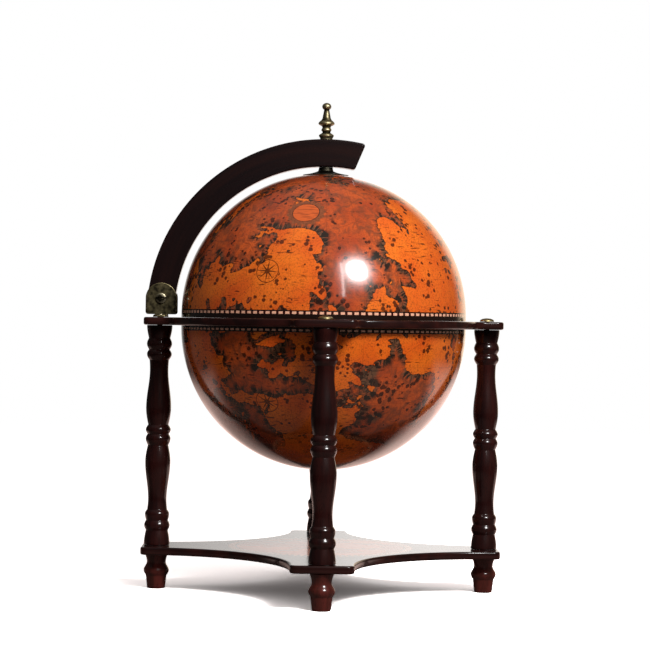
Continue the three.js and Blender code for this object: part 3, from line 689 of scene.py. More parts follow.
def ruled_lines(tree, globe, rose):
    """Meridians and parallels every 15 degrees, and rhumb lines every 22.5 degrees from the compass rose.
    Globe and rose are the directions with the pole and with the rose on top. The distance to the nearest
    line of each of the three kinds is taken, and the least of them is inked."""
    lines = []
    for axes, half_step in ((globe, 7.5), (rose, 11.25)):
        around = add_node(tree, "Math", {"operation": "ARCTAN2"}, {0: axes[1], 1: axes[0]})[0]
        off = add_node(tree, "Math", {"operation": "PINGPONG"}, {0: around, 1: math.radians(half_step)})[0]
        squared = add_node(tree, "Math", {"operation": "MULTIPLY_ADD"}, {0: axes[2], 1: axes[2], 2: -1})[0]
        flat = add_node(tree, "Math", {"operation": "ABSOLUTE"}, {0: squared})[0]
        radius = add_node(tree, "Math", {"operation": "SQRT"}, {0: flat})[0]
        lines.append(add_node(tree, "Math", {"operation": "MULTIPLY"}, {0: off, 1: radius})[0])
    up = add_node(tree, "Math", {"operation": "ARCSINE"}, {0: globe[2]})[0]
    off = add_node(tree, "Math", {"operation": "PINGPONG"}, {0: up, 1: math.radians(7.5)})[0]
    near = add_node(tree, "Math", {"operation": "MINIMUM"}, {0: lines[0], 1: off})[0]
    near = add_node(tree, "Math", {"operation": "MINIMUM"}, {0: near, 1: lines[1]})[0]
    return add_node(tree, "MapRange", (), {
        "Value": near, "From Min": 0.1 / BALL_RADIUS, "From Max": 0.35 / BALL_RADIUS,
        "To Min": 0.35, "To Max": 0})[0]


def compass_rose(tree, rose):
    """The rose's ink, and the disc it covers: eight points inside a ring, where the rhumb lines meet.
    A point reaches further out the closer its direction is to an eighth of the turn."""
    steep = add_node(tree, "Math", {"operation": "ARCCOSINE"}, {0: rose[2]})[0]
    reach = add_node(tree, "Math", {"operation": "MULTIPLY"}, {0: steep, 1: BALL_RADIUS})[0]
    around = add_node(tree, "Math", {"operation": "ARCTAN2"}, {0: rose[1], 1: rose[0]})[0]
    eighth = add_node(tree, "Math", {"operation": "PINGPONG"}, {0: around, 1: math.radians(22.5)})[0]
    tip = add_node(tree, "MapRange", (), {
        "Value": eighth, "From Min": 0, "From Max": math.radians(22.5), "To Min": 1, "To Max": 0})[0]
    point = add_node(tree, "Math", {"operation": "POWER"}, {0: tip, 1: 3})[0]
    star_edge = add_node(tree, "MapRange", (), {"Value": point, "To Min": 3, "To Max": 12})[0]
    in_star = add_node(tree, "Math", {"operation": "LESS_THAN"}, {0: reach, 1: star_edge})[0]
    to_ring = add_node(tree, "Math", {"operation": "PINGPONG"}, {0: reach, 1: 6.5})[0]
    on_ring = add_node(tree, "Math", {"operation": "LESS_THAN"}, {0: to_ring, 1: 0.45})[0]
    in_rose = add_node(tree, "Math", {"operation": "LESS_THAN"}, {0: reach, 1: ROSE_RADIUS})[0]
    ring = add_node(tree, "Math", {"operation": "MULTIPLY"}, {0: on_ring, 1: in_rose})[0]
    return add_node(tree, "Math", {"operation": "MAXIMUM"}, {0: in_star, 1: ring})[0], in_rose


def with_cartouche(tree, chart, directions, oval_turn, torn, dash):
    """The chart with its cartouche: an oval panel of faint level dashes, with a ruled border and a
    scalloped, engraved surround. Its span is 1 on the border, and it lies only on the side that its turn
    brings on top."""
    panel = add_node(tree, "Mapping", (), {"Vector": directions, "Rotation": oval_turn})[0]
    oval = add_node(tree, "VectorMath", {"operation": "MULTIPLY"}, {
        0: panel, 1: [BALL_RADIUS / OVAL_HALF_WIDTH, BALL_RADIUS / OVAL_HALF_HEIGHT, 0]})[0]
    span = add_node(tree, "VectorMath", {"operation": "LENGTH"}, {0: oval})["Value"]
    over = add_node(tree, "SeparateXYZ", (), {0: panel})
    facing_out = add_node(tree, "Math", {"operation": "GREATER_THAN"}, {0: over[2], 1: 0.5})[0]
    turn = add_node(tree, "Math", {"operation": "ARCTAN2"}, {0: over[1], 1: over[0]})[0]
    lobe = add_node(tree, "Math", {"operation": "PINGPONG"}, {0: turn, 1: math.pi / OVAL_SCALLOPS})[0]
    scallop = add_node(tree, "Math", {"operation": "MULTIPLY_ADD"}, {0: lobe, 1: -1.0, 2: 1.5})[0]
    on_panel = add_node(tree, "Math", {"operation": "LESS_THAN"}, {0: span, 1: scallop})[0]
    on_panel = add_node(tree, "Math", {"operation": "MULTIPLY"}, {0: on_panel, 1: facing_out})[0]
    blank = add_node(tree, "Math", {"operation": "LESS_THAN"}, {0: span, 1: 1})[0]
    surround = add_node(tree, "Mix", {"data_type": "RGBA"}, {
        0: torn, 6: linear("#3A2016"), 7: linear("#A85A34")})[2]
    rows = add_node(tree, "MapRange", (), {
        "Value": dash, "From Min": 0.5, "From Max": 0.62, "To Max": 0.4})[0]
    plate = add_node(tree, "Mix", {"data_type": "RGBA"}, {
        0: rows, 6: linear("#CC5A26"), 7: linear("#3A1A10")})[2]
    filled = add_node(tree, "Mix", {"data_type": "RGBA"}, {0: blank, 6: surround, 7: plate})[2]
    chart = add_node(tree, "Mix", {"data_type": "RGBA"}, {0: on_panel, 6: chart, 7: filled})[2]
    line = add_node(tree, "Math", {"operation": "COMPARE"}, {0: span, 1: 1, 2: 0.022})[0]
    border = add_node(tree, "Math", {"operation": "MULTIPLY"}, {0: line, 1: facing_out})[0]
    return add_node(tree, "Mix", {"data_type": "RGBA"}, {0: border, 6: chart, 7: linear(MAP_INK)})[2]


def with_waist_scale(tree, chart, height, globe, boxes_low, boxes_high, line_far, black_side):
    """The chart with its waist scale: pale boxes between dark ones from one height to the other, a ruled
    line that reaches line_far past them on both sides, and black paint beyond them on the black side."""
    lon = add_node(tree, "Math", {"operation": "ARCTAN2"}, {0: globe[1], 1: globe[0]})[0]
    box = add_node(tree, "Math", {"operation": "PINGPONG"}, {0: lon, 1: math.pi / WAIST_BOXES})[0]
    pale = add_node(tree, "Math", {"operation": "GREATER_THAN"}, {
        0: box, 1: DARK_BOX_SHARE * math.pi / WAIST_BOXES})[0]
    tinted = add_node(tree, "Mix", {"data_type": "RGBA"}, {
        0: pale, 6: linear("#3A0E0A"), 7: linear("#EBAE90")})[2]
    middle = (boxes_low + boxes_high) / 2
    half = (boxes_high - boxes_low) / 2
    from_middle = add_node(tree, "Math", {"operation": "SUBTRACT"}, {0: height, 1: middle})[0]
    off_middle = add_node(tree, "Math", {"operation": "ABSOLUTE"}, {0: from_middle})[0]
    in_boxes = add_node(tree, "Math", {"operation": "LESS_THAN"}, {0: off_middle, 1: half})[0]
    in_lines = add_node(tree, "Math", {"operation": "LESS_THAN"}, {0: off_middle, 1: half + line_far})[0]
    side = add_node(tree, "Math", {"operation": "MULTIPLY"}, {0: from_middle, 1: black_side})[0]
    painted = add_node(tree, "Math", {"operation": "GREATER_THAN"}, {0: side, 1: half})[0]
    edged = add_node(tree, "Math", {"operation": "MAXIMUM"}, {0: in_lines, 1: painted})[0]
    lined = add_node(tree, "Mix", {"data_type": "RGBA"}, {0: edged, 6: chart, 7: linear("#1A0B08")})[2]
    return add_node(tree, "Mix", {"data_type": "RGBA"}, {0: in_boxes, 6: lined, 7: tinted})[2]


def printed_map(name, centre, rose_turn, oval_turn, **scale):
    """A printed paper chart under gloss varnish: saturated orange sea, redder land with a dark engraved
    band inside its coasts, ink lines drawn coarser than print so that they show, and a clear coat that
    mirrors the lights sharply. The turns place the compass rose and the cartouche, and scale places the
    waist scale."""
    material, tree = new_finish(name)
    place = add_node(tree, "TexCoord")["Object"]
    local = add_node(tree, "VectorMath", {"operation": "SUBTRACT"}, {0: place, 1: [0, 0, centre * MM]})[0]
    inked = add_node(tree, "VectorMath", {"operation": "SCALE"}, {0: local, "Scale": 1 / MM})[0]
    height = add_node(tree, "SeparateXYZ", (), {0: inked})[2]
    directions = add_node(tree, "VectorMath", {"operation": "NORMALIZE"}, {0: local})[0]
    globe = add_node(tree, "SeparateXYZ", (), {0: directions})
    turned = add_node(tree, "Mapping", (), {"Vector": directions, "Rotation": rose_turn})[0]
    rose = add_node(tree, "SeparateXYZ", (), {0: turned})

    # Coast: the stored distance, over 0 on land, made ragged by a fine noise
    coast = add_node(tree, "Attribute", {"attribute_name": "coast"})["Fac"]
    rough = add_node(tree, "TexNoise", (), {"Vector": inked, "Scale": 1 / 3.5, "Detail": 4})[0]
    ragged = add_node(tree, "Math", {"operation": "MULTIPLY_ADD"}, {0: rough, 1: 4.0, 2: coast})[0]
    shore = add_node(tree, "Math", {"operation": "SUBTRACT"}, {0: ragged, 1: 2.0})[0]
    on_land = add_node(tree, "MapRange", (), {"Value": shore, "From Min": -0.1, "From Max": 0.1})[0]
    off_shore = add_node(tree, "Math", {"operation": "ABSOLUTE"}, {0: shore})[0]
    coast_line = add_node(tree, "MapRange", (), {
        "Value": off_shore, "From Min": 0.2, "From Max": 0.7, "To Min": 1, "To Max": 0})[0]

    # Engraved band: shading that fades inland, made of strokes that run straight in from the shore
    shore_place = add_node(tree, "Attribute", {"attribute_name": "shore"})["Vector"]
    comb = add_node(tree, "TexNoise", (), {"Vector": shore_place, "Scale": 1 / 2.2, "Detail": 2})[0]
    broad = add_node(tree, "TexNoise", (), {"Vector": inked, "Scale": 1 / 22, "Detail": 2})[0]
    width = add_node(tree, "Math", {"operation": "MULTIPLY_ADD"}, {0: broad, 1: 22.0, 2: -3.5})[0]
    frayed = add_node(tree, "Math", {"operation": "MULTIPLY_ADD"}, {0: comb, 1: 22.0, 2: -11.0})[0]
    inner = add_node(tree, "Math", {"operation": "ADD"}, {0: width, 1: frayed})[0]
    within = add_node(tree, "Math", {"operation": "SUBTRACT"}, {0: inner, 1: shore})[0]
    band = add_node(tree, "MapRange", (), {"Value": within, "From Min": -0.5, "From Max": 6})[0]
    engraved = add_node(tree, "Math", {"operation": "MULTIPLY"}, {0: band, 1: on_land})[0]
    stroke = add_node(tree, "MapRange", (), {"Value": comb, "From Min": 0.4, "From Max": 0.6})[0]
    shading = add_node(tree, "Mix", {"data_type": "RGBA"}, {
        0: stroke, 6: linear("#6E4A34"), 7: linear("#2A2019")})[2]

    # Paper: the sea and the land vary over a few centimetres, as aged print does, with hills and grit
    aged = add_node(tree, "TexNoise", (), {"Vector": inked, "Scale": 1 / 45, "Detail": 3})[0]
    age = add_node(tree, "MapRange", (), {"Value": aged, "From Min": 0.35, "From Max": 0.65})[0]
    sea = add_node(tree, "Mix", {"data_type": "RGBA"}, {
        0: age, 6: linear("#EC731F"), 7: linear("#D85618")})[2]
    soil = add_node(tree, "Mix", {"data_type": "RGBA"}, {
        0: age, 6: linear("#CC5824"), 7: linear("#A8401E")})[2]
    hills = add_node(tree, "TexNoise", (), {
        "Vector": inked, "Scale": 1 / 13, "Detail": 6, "Roughness": 0.68, "Distortion": 1.2})[0]
    hilly = add_node(tree, "MapRange", (), {
        "Value": hills, "From Min": 0.45, "From Max": 0.62, "To Max": 0.75})[0]
    soil = add_node(tree, "Mix", {"data_type": "RGBA"}, {0: hilly, 6: soil, 7: linear("#6A3A26")})[2]
    ground = add_node(tree, "Mix", {"data_type": "RGBA"}, {0: on_land, 6: sea, 7: soil})[2]
    torn = add_node(tree, "TexNoise", (), {"Vector": inked, "Scale": 1 / 1.8, "Detail": 3})[0]
    grit = add_node(tree, "MapRange", (), {
        "Value": torn, "From Min": 0.48, "From Max": 0.7, "To Max": 0.55})[0]
    ground = add_node(tree, "Mix", {"data_type": "RGBA"}, {0: grit, 6: ground, 7: linear("#7A3016")})[2]
    banded = add_node(tree, "Mix", {"data_type": "RGBA"}, {0: engraved, 6: ground, 7: shading})[2]

    # Strokes: short level dashes in patches, for waves and plains
    drawn = add_node(tree, "VectorMath", {"operation": "MULTIPLY"}, {0: inked, 1: [0.12, 0.12, 1]})[0]
    dash = add_node(tree, "TexNoise", (), {"Vector": drawn, "Scale": 1 / 1.5, "Detail": 1})[0]
    patch = add_node(tree, "TexNoise", (), {"Vector": inked, "Scale": 1 / 30, "Detail": 1})[0]
    calm = add_node(tree, "MapRange", (), {
        "Value": patch, "From Min": 0.48, "From Max": 0.6, "To Min": 0.2, "To Max": 0})[0]
    lifted = add_node(tree, "Math", {"operation": "SUBTRACT"}, {0: dash, 1: calm})[0]
    strokes = add_node(tree, "MapRange", (), {"Value": lifted, "From Min": 0.62, "From Max": 0.68})[0]

    # Ink: coast line, islets outside the rose, strokes, ruled lines and the rose, in one dark brown
    rose_ink, in_rose = compass_rose(tree, rose)
    clear = add_node(tree, "Math", {"operation": "SUBTRACT"}, {0: 1, 1: in_rose})[0]
    dots = add_node(tree, "Math", {"operation": "MULTIPLY"}, {0: islets(tree, inked), 1: clear})[0]
    ink = coast_line
    for mark in (dots, strokes, ruled_lines(tree, globe, rose), rose_ink):
        ink = add_node(tree, "Math", {"operation": "MAXIMUM"}, {0: ink, 1: mark})[0]
    strong = add_node(tree, "Math", {"operation": "MULTIPLY"}, {0: ink, 1: 0.85})[0]
    chart = add_node(tree, "Mix", {"data_type": "RGBA"}, {0: strong, 6: banded, 7: linear(MAP_INK)})[2]
    chart = with_cartouche(tree, chart, directions, oval_turn, torn, dash)

    # Foot of the bowl: painted shade, the print drawn darker towards the bottom of the bowl
    foot = add_node(tree, "MapRange", {"interpolation_type": "SMOOTHSTEP"}, {
        "Value": globe[2], "From Min": -0.96, "From Max": -0.5, "To Min": 0.8, "To Max": 0})[0]
    chart = add_node(tree, "Mix", {"data_type": "RGBA"}, {0: foot, 6: chart, 7: linear("#3A0B07")})[2]
    colour = with_waist_scale(tree, chart, height, globe, **scale)

    # Varnish: a gloss coat with a faint orange peel
    peel = add_node(tree, "TexNoise", (), {"Vector": inked, "Scale": 1 / 14, "Detail": 1})[0]
    ripple = add_node(tree, "Bump", (), {"Height": peel, "Strength": 0.03, "Distance": 0.2 * MM})[0]
    shader = add_node(tree, "BsdfPrincipled", (), {
        "Base Color": colour, "Roughness": 0.2, "Specular IOR Level": 0.4, "IOR": 1.5, "Normal": ripple,
        "Coat Weight": 1, "Coat Roughness": 0.09, "Coat IOR": 1.5, "Coat Normal": ripple})[0]
    add_node(tree, "OutputMaterial", (), {"Surface": shader})
    return material


def lining_paper(name):
    """Plain lining paper glued inside the ball: matt, terracotta, with faint pulp flecks."""
    material, tree = new_finish(name)
    place = add_node(tree, "TexCoord")["Object"]
    pulp = add_node(tree, "TexNoise", (), {"Vector": place, "Scale": 1 / (1.6 * MM), "Detail": 5})[0]
    cloud = add_node(tree, "TexNoise", (), {"Vector": place, "Scale": 1 / (60 * MM), "Detail": 2})[0]
    base = add_node(tree, "Mix", {"data_type": "RGBA"}, {
        0: cloud, 6: linear("#8A3B1C"), 7: linear("#6E2A14")})[2]
    fleck = add_node(tree, "MapRange", (), {
        "Value": pulp, "From Min": 0.58, "From Max": 0.72, "To Max": 0.4})[0]
    tone = add_node(tree, "Mix", {"data_type": "RGBA"}, {0: fleck, 6: base, 7: linear("#B9683C")})[2]
    fibre = add_node(tree, "Bump", (), {"Height": pulp, "Strength": 0.2, "Distance": 0.1 * MM})[0]
    shader = add_node(tree, "BsdfPrincipled", (), {
        "Base Color": tone, "Roughness": 0.7, "IOR": 1.45, "Normal": fibre})[0]
    add_node(tree, "OutputMaterial", (), {"Surface": shader})
    return material


def half_ball(name, outline, centre):
    """A half ball turned from its outline. Faces within half a millimetre of the ball's surface take the
    first finish, the map, and the others the second, the lining."""
    piece = lathe(name, outline, BALL_SIDES)
    mark_coast(piece, centre)
    middles = np.zeros(len(piece.data.polygons) * 3, np.float32)
    piece.data.polygons.foreach_get("center", middles)
    away = np.linalg.norm(middles.reshape(-1, 3) / MM - [0, 0, centre], axis=1)
    inner = away < BALL_RADIUS - SURFACE_BAND
    piece.data.polygons.foreach_set("material_index", inner.astype(np.int32))
    return piece


# Every second point of the coast is close enough to its neighbours for both half balls
coasts = coast_points().astype(np.float32)[::2]
lining = lining_paper("lining_paper")
bowl_map = printed_map(
    "varnished_map_bowl", BOWL_CENTRE, rose_turn=facing(-26, -30, 24), oval_turn=facing(150, -24),
    boxes_low=-4.0, boxes_high=-1.8, line_far=1.3, black_side=1)
bowl_outline = np.concatenate([
    arc(0, BOWL_CENTRE, BALL_RADIUS, -np.pi / 2, 0, BALL_STEP),
    arc(0, BOWL_CENTRE, BALL_INSIDE, 0, -np.pi / 2, LINING_STEP),
])
bowl_outline[[0, -1], 0] = 0
bowl = half_ball("map_bowl", bowl_outline, BOWL_CENTRE)
fit(bowl, "stand", "lower_bowl", "map_shell", bowl_map, lining)


# Bowl hoop: a hoop of bent wood inside the bowl's rim, which carries the bowl.
# It is glued to the shell and screwed up into the board by four steel screws with domed, slotted heads.

HOOP_INSIDE = 148
HOOP_HEIGHT = 12
BOWL_HOOP_OUTSIDE = 157.5
DOME_HOOP_OUTSIDE = 157.9
SCREW_RADIUS = 1.5
SCREW_POINT = 2
SCREW_HEAD_EDGE = 0.3
SCREW_SIDES = 24
RIM_SCREWS = 4
RIM_SCREW_HEAD = 3
RIM_SCREW_HEIGHT = 1.8
RIM_SCREW_TIP = 310
RIM_SCREW_SLOT = 0.7
RIM_SCREW_SLOT_DEPTH = 0.8
CUTTER_LENGTH = 20
CUTTER_PAST = 2


def hoop_outline(outside, low, ease=1):
    """The section of a hoop: a rectangle with rounded corners, closed on itself."""
    high = low + HOOP_HEIGHT
    corners = [(outside, low, -90), (outside, high, 0), (HOOP_INSIDE, high, 90), (HOOP_INSIDE, low, 180)]
    rounds = []
    for across, up, start in corners:
        x = across - ease if across == outside else across + ease
        y = up + ease if up == low else up - ease
        rounds.append(arc(x, y, ease, math.radians(start), math.radians(start + 90), 0.3))
    outline = np.concatenate(rounds)
    return np.concatenate([outline, outline[:1]])


def cut(piece, cutter):
    """Cuts the cutter's shape out of the piece, and clears the cutter away."""
    boolean = piece.modifiers.new("cut", "BOOLEAN")
    boolean.object = cutter
    boolean.solver = "EXACT"
    shown = piece.evaluated_get(bpy.context.evaluated_depsgraph_get())
    cut_mesh = bpy.data.meshes.new_from_object(shown)
    piece.modifiers.clear()
    piece.data = cut_mesh
    bpy.data.objects.remove(cutter)


def slot_cutter(width, low, high, x=0, y=0, turn=0):
    """A bar that cuts a screw slot: a box from low to high, longer than any head is wide, and turned about
    its middle at x, y."""
    long = CUTTER_LENGTH
    corner = np.array([[long, -width], [long, width], [-long, width], [-long, -width]]) / 2
    c, s = math.cos(turn), math.sin(turn)
    loop = corner @ np.array([[c, s], [-s, c]]) + [x, y]
    points = np.concatenate([np.column_stack([loop, np.full(4, level)]) for level in (low, high)])
    return shape("slot_cutter", points, [wrapped(2, 4)])


bowl_hoop = lathe("bowl_hoop", hoop_outline(BOWL_HOOP_OUTSIDE, BOWL_CENTRE - HOOP_HEIGHT), sides=180)
fit(bowl_hoop, "stand", "bowl_rim_ring", "dark_wood", board_mahogany)
screw_seat = BOWL_CENTRE - HOOP_HEIGHT - FIT
screw_circle = (HOOP_INSIDE + BOWL_HOOP_OUTSIDE) / 2
head = domed(RIM_SCREW_HEAD, screw_seat, SCREW_HEAD_EDGE, -RIM_SCREW_HEIGHT)[::-1]
screw_outline = np.concatenate([
    head, [[SCREW_RADIUS, screw_seat], [SCREW_RADIUS, RIM_SCREW_TIP - SCREW_POINT], [0, RIM_SCREW_TIP]]])
for index in range(RIM_SCREWS):
    angle = (index + 0.5) * 2 * np.pi / RIM_SCREWS
    x, y = screw_circle * math.cos(angle), screw_circle * math.sin(angle)
    screw = lathe(f"rim_screw_fine_{index + 1}", screw_outline, SCREW_SIDES, x, y)
    low = screw_seat - RIM_SCREW_HEIGHT
    cut(screw, slot_cutter(RIM_SCREW_SLOT, low - CUTTER_PAST, low + RIM_SCREW_SLOT_DEPTH, x, y, angle))
    fit(screw, "stand", f"rim_screw_{index + 1}", "zinc_steel", zinc)


# Glass tray and bottle floor: a round panel wedged in the bowl with a bottle hole and six glass holes,
# and a small disc below it that the bottle stands on. Both are stained fibreboard with a satin lacquer,
# their edges rounded over.

TRAY_LOW = 252.7
TRAY_HIGH = 261.7
TRAY_RADIUS = 149.2
BOTTLE_HOLE = 43
GLASS_HOLE = 31
GLASS_CIRCLE = 96.14
GLASS_COUNT = 6
TRAY_EASE = 2
FLOOR_LOW = 155.7
FLOOR_HIGH = 163.7
FLOOR_RADIUS = 54
FLOOR_EASE = 1


def satin_panel(name):
    """Stained fibreboard under satin lacquer: even dark brown with a soft sheen and a fleck like felt,
    drawn coarser than the fibres so that it shows."""
    material, tree = new_finish(name)
    place = add_node(tree, "TexCoord")["Object"]
    felt = add_node(tree, "TexNoise", (), {"Vector": place, "Scale": 1 / (0.8 * MM), "Detail": 3})[0]
    tone = add_node(tree, "Mix", {"data_type": "RGBA"}, {
        0: felt, 6: linear("#2E100B"), 7: linear("#562418")})[2]
    nap = add_node(tree, "Bump", (), {"Height": felt, "Strength": 0.15, "Distance": 0.1 * MM})[0]
    shader = add_node(tree, "BsdfPrincipled", (), {
        "Base Color": tone, "Roughness": 0.42, "IOR": 1.5, "Normal": nap})[0]
    add_node(tree, "OutputMaterial", (), {"Surface": shader})
    return material


panel = satin_panel("satin_stained_panel")
tray_holes = [hole(0, 0, BOTTLE_HOLE)]
for index in range(GLASS_COUNT):
    angle = (index + 0.5) * 2 * np.pi / GLASS_COUNT
    tray_holes.append(hole(GLASS_CIRCLE * math.cos(angle), GLASS_CIRCLE * math.sin(angle), GLASS_HOLE))
tray_rim = arc(0, 0, TRAY_RADIUS, 0, 2 * np.pi)[:-1]
tray = slab("drinks_tray", tray_rim, tray_holes, TRAY_LOW, TRAY_HIGH, TRAY_EASE)
fit(tray, "stand", "glass_tray", "lined_panel", panel)
disc_rim = arc(0, 0, FLOOR_RADIUS, 0, 2 * np.pi)[:-1]
disc = slab("bottle_disc", disc_rim, [], FLOOR_LOW, FLOOR_HIGH, FLOOR_EASE)
fit(disc, "stand", "bottle_floor", "lined_panel", panel)


# Hinge cheeks: two brass plates on the left corner that hold the arm's end between them. Each is cut from
# 2 mm sheet, with a round top and a narrow neck bent out into a foot that is screwed down.

PIVOT = (-188.1409, 336)
CHEEK_RADIUS = 18
CHEEK_WALL = 2
CHEEK_INSIDE = 10.3
CHEEK_EDGE = 317.4
CHEEK_CORNER = 3
TAB_HALF_WIDTH = 7
TAB_ROUNDING = 4
TAB_SEAT = BOARD_TOP + FIT
TAB_END = 24.3
BEND_INSIDE = 0.8
BEND_CUTS = 9
CHEEK_EASE = 0.8
PIVOT_BORE = 3.3


def cheek(name, back):
    """A cheek as a flat blank, cut across at the bend and then bent: past the bend line, the length s
    along the blank becomes an angle s / r about the bend's axis, and past a quarter turn it runs on
    level."""
    middle = BEND_INSIDE + CHEEK_WALL / 2
    bend_z = TAB_SEAT + CHEEK_WALL + BEND_INSIDE - PIVOT[1]
    bend_y = -(CHEEK_INSIDE + CHEEK_WALL + BEND_INSIDE)
    quarter = middle * np.pi / 2
    end = bend_z - quarter - (TAB_END + bend_y)
    edge = CHEEK_EDGE - PIVOT[1]
    inset = CHEEK_RADIUS - CHEEK_CORNER
    outline = np.concatenate([
        arc(0, 0, CHEEK_RADIUS, 0, np.pi, 0.8),
        arc(-inset, edge + CHEEK_CORNER, CHEEK_CORNER, np.pi, 1.5 * np.pi, 0.5),
        [[-TAB_HALF_WIDTH, edge]],
        arc(TAB_ROUNDING - TAB_HALF_WIDTH, end + TAB_ROUNDING, TAB_ROUNDING, np.pi, 1.5 * np.pi, 0.5),
        arc(TAB_HALF_WIDTH - TAB_ROUNDING, end + TAB_ROUNDING, TAB_ROUNDING, -np.pi / 2, 0, 0.5),
        [[TAB_HALF_WIDTH, edge]],
        arc(inset, edge + CHEEK_CORNER, CHEEK_CORNER, -np.pi / 2, 0, 0.5),
    ])
    screw_along = bend_z - quarter - (TAB_SCREW_Y + bend_y)
    holes = [hole(0, 0, PIVOT_BORE, BORE_STEP), hole(0, screw_along, SCREW_BORE, SCREW_BORE_STEP)]
    piece = slab(name, outline, holes, -CHEEK_WALL / 2, CHEEK_WALL / 2, CHEEK_EASE)
    work = bmesh.new()
    work.from_mesh(piece.data)
    for share in np.linspace(0, 1, BEND_CUTS):
        line = (bend_z - quarter * share) * MM
        bmesh.ops.bisect_plane(work, geom=[*work.verts, *work.edges, *work.faces], dist=1e-7,
                               plane_co=(0, line, 0), plane_no=(0, 1, 0))
    work.to_mesh(piece.data)
    work.free()
    place = np.zeros(len(piece.data.vertices) * 3, np.float32)
    piece.data.vertices.foreach_get("co", place)
    u, v, w = (place.reshape(-1, 3) / MM).T
    angle = np.clip((bend_z - v) / middle, 0, np.pi / 2)
    above = np.maximum(v - bend_z, 0)
    beyond = np.maximum(bend_z - quarter - v, 0)
    y = bend_y + (middle - w) * np.cos(angle) - beyond
    z = bend_z - (middle - w) * np.sin(angle) + above
    turn = -1 if back else 1
    bent = np.stack([turn * u + PIVOT[0], turn * y, z + PIVOT[1]], axis=-1) * MM
    piece.data.vertices.foreach_set("co", bent.astype(np.float32).ravel())
    piece.data.update()
    piece.data.set_sharp_from_angle(angle=math.radians(CREASE))
    return piece


plate_brass = antique_brass("antiqued_brass_plate", "#A5976F", "#2E291E", 0.4)
for side in ("front", "back"):
    plate = cheek(f"brass_cheek_{side}", side == "back")
    fit(plate, "stand", f"hinge_cheek_{side}", "antique_brass", plate_brass)


# Hinge fixings: a slotted brass bolt through both cheeks and the arm, its nut behind, and a screw in each
# cheek's foot. All are turned brass, slotted by a saw, and darkened like the cheeks.

BOLT_HEAD = 6
BOLT_HEAD_HEIGHT = 3
BOLT_RADIUS = 3
BOLT_LEAD = 0.5
BOLT_PAST_NUT = 1.5
BOLT_SLOT = 1.6
BOLT_SLOT_DEPTH = 1.2
BOLT_SEAT = 12.6
NUT_RADIUS = 6.5
NUT_HEIGHT = 4
NUT_CREASE = 25
TAB_SCREW_LENGTH = 6
TAB_SCREW_HEAD = 3.3
TAB_SCREW_HEIGHT = 2
TAB_SCREW_SLOT = 0.9
TAB_SCREW_SIDES = 32
TAB_SCREW_TURN = 0.5


def hex_nut(name, radius, bore, low, high, chamfer=0.8):
    """A hexagon nut about Z: the radius at each turn is the flats' distance over the cosine to the
    nearest flat. Both ends are round and as wide as the flats, which chamfers the six corners."""
    sides = 72
    angle = np.arange(sides) * 2 * np.pi / sides
    end = np.full(sides, radius * math.cos(np.pi / 6))
    flat = end / np.cos((angle + np.pi / 6) % (np.pi / 3) - np.pi / 6)
    wall = np.full(sides, bore)
    across = np.stack([wall, end, flat, flat, end, wall, wall])
    level = np.array([low, low, low + chamfer, high - chamfer, high, high, low])[:, None]
    height = np.broadcast_to(level, across.shape)
    points = np.stack([across * np.cos(angle), across * np.sin(angle), height], axis=-1)
    return shape(name, points.reshape(-1, 3), [wrapped(len(level), sides)], NUT_CREASE)


def lay_along_y(piece):
    """Turns a piece made about Z to lie along Y through the pivot, its top to the front."""
    to_pivot = Matrix.Translation((PIVOT[0] * MM, 0, PIVOT[1] * MM))
    piece.data.transform(to_pivot @ Matrix.Rotation(np.pi / 2, 4, "X"))


bolt_end = -(BOLT_SEAT + NUT_HEIGHT + BOLT_PAST_NUT)
bolt_outline = np.concatenate([
    [[0, bolt_end], [BOLT_RADIUS - BOLT_LEAD, bolt_end]],
    [[BOLT_RADIUS, bolt_end + BOLT_LEAD], [BOLT_RADIUS, BOLT_SEAT]],
    domed(BOLT_HEAD, BOLT_SEAT, BOLT_HEAD_HEIGHT / 2, BOLT_HEAD_HEIGHT),
])
bolt = lathe("slotted_bolt", bolt_outline, sides=48)
top = BOLT_SEAT + BOLT_HEAD_HEIGHT
cut(bolt, slot_cutter(BOLT_SLOT, top - BOLT_SLOT_DEPTH, top + CUTTER_PAST))
lay_along_y(bolt)
bolt_brass = antique_brass("antiqued_brass_bolt", "#C9BEA0", "#262117", 0.52)
fit(bolt, "stand", "pivot_bolt", "antique_brass", bolt_brass)
nut = hex_nut("pivot_hex_nut", NUT_RADIUS, PIVOT_BORE, -(BOLT_SEAT + NUT_HEIGHT), -BOLT_SEAT)
lay_along_y(nut)
fit(nut, "stand", "pivot_nut", "antique_brass", bolt_brass)
tab_top = TAB_SEAT + CHEEK_WALL + FIT
tab_screw_low = BOARD_TOP - TAB_SCREW_LENGTH
tab_screw_outline = np.concatenate([
    [[0, tab_screw_low], [SCREW_RADIUS, tab_screw_low + SCREW_POINT], [SCREW_RADIUS, tab_top]],
    domed(TAB_SCREW_HEAD, tab_top, SCREW_HEAD_EDGE, TAB_SCREW_HEIGHT),
])
top = tab_top + TAB_SCREW_HEIGHT
for side, y in (("front", -TAB_SCREW_Y), ("back", TAB_SCREW_Y)):
    screw = lathe(f"cheek_screw_{side}", tab_screw_outline, TAB_SCREW_SIDES, TAB_SCREW_X, y)
    slot_low, slot_high = top - TAB_SCREW_SLOT, top + CUTTER_PAST
    cut(screw, slot_cutter(TAB_SCREW_SLOT, slot_low, slot_high, TAB_SCREW_X, y, TAB_SCREW_TURN))
    fit(screw, "stand", f"tab_screw_{side}", "antique_brass", bolt_brass)


# Dome: the upper half ball, the bar's lid, made and covered as the bowl is, with a straight skirt painted
# black. Its wall stands on the board when shut, and a hole at the pole takes the spindle.

DOME_CENTRE = 318
DOME_LOW = 314.3
SPINDLE_BORE = 2.8

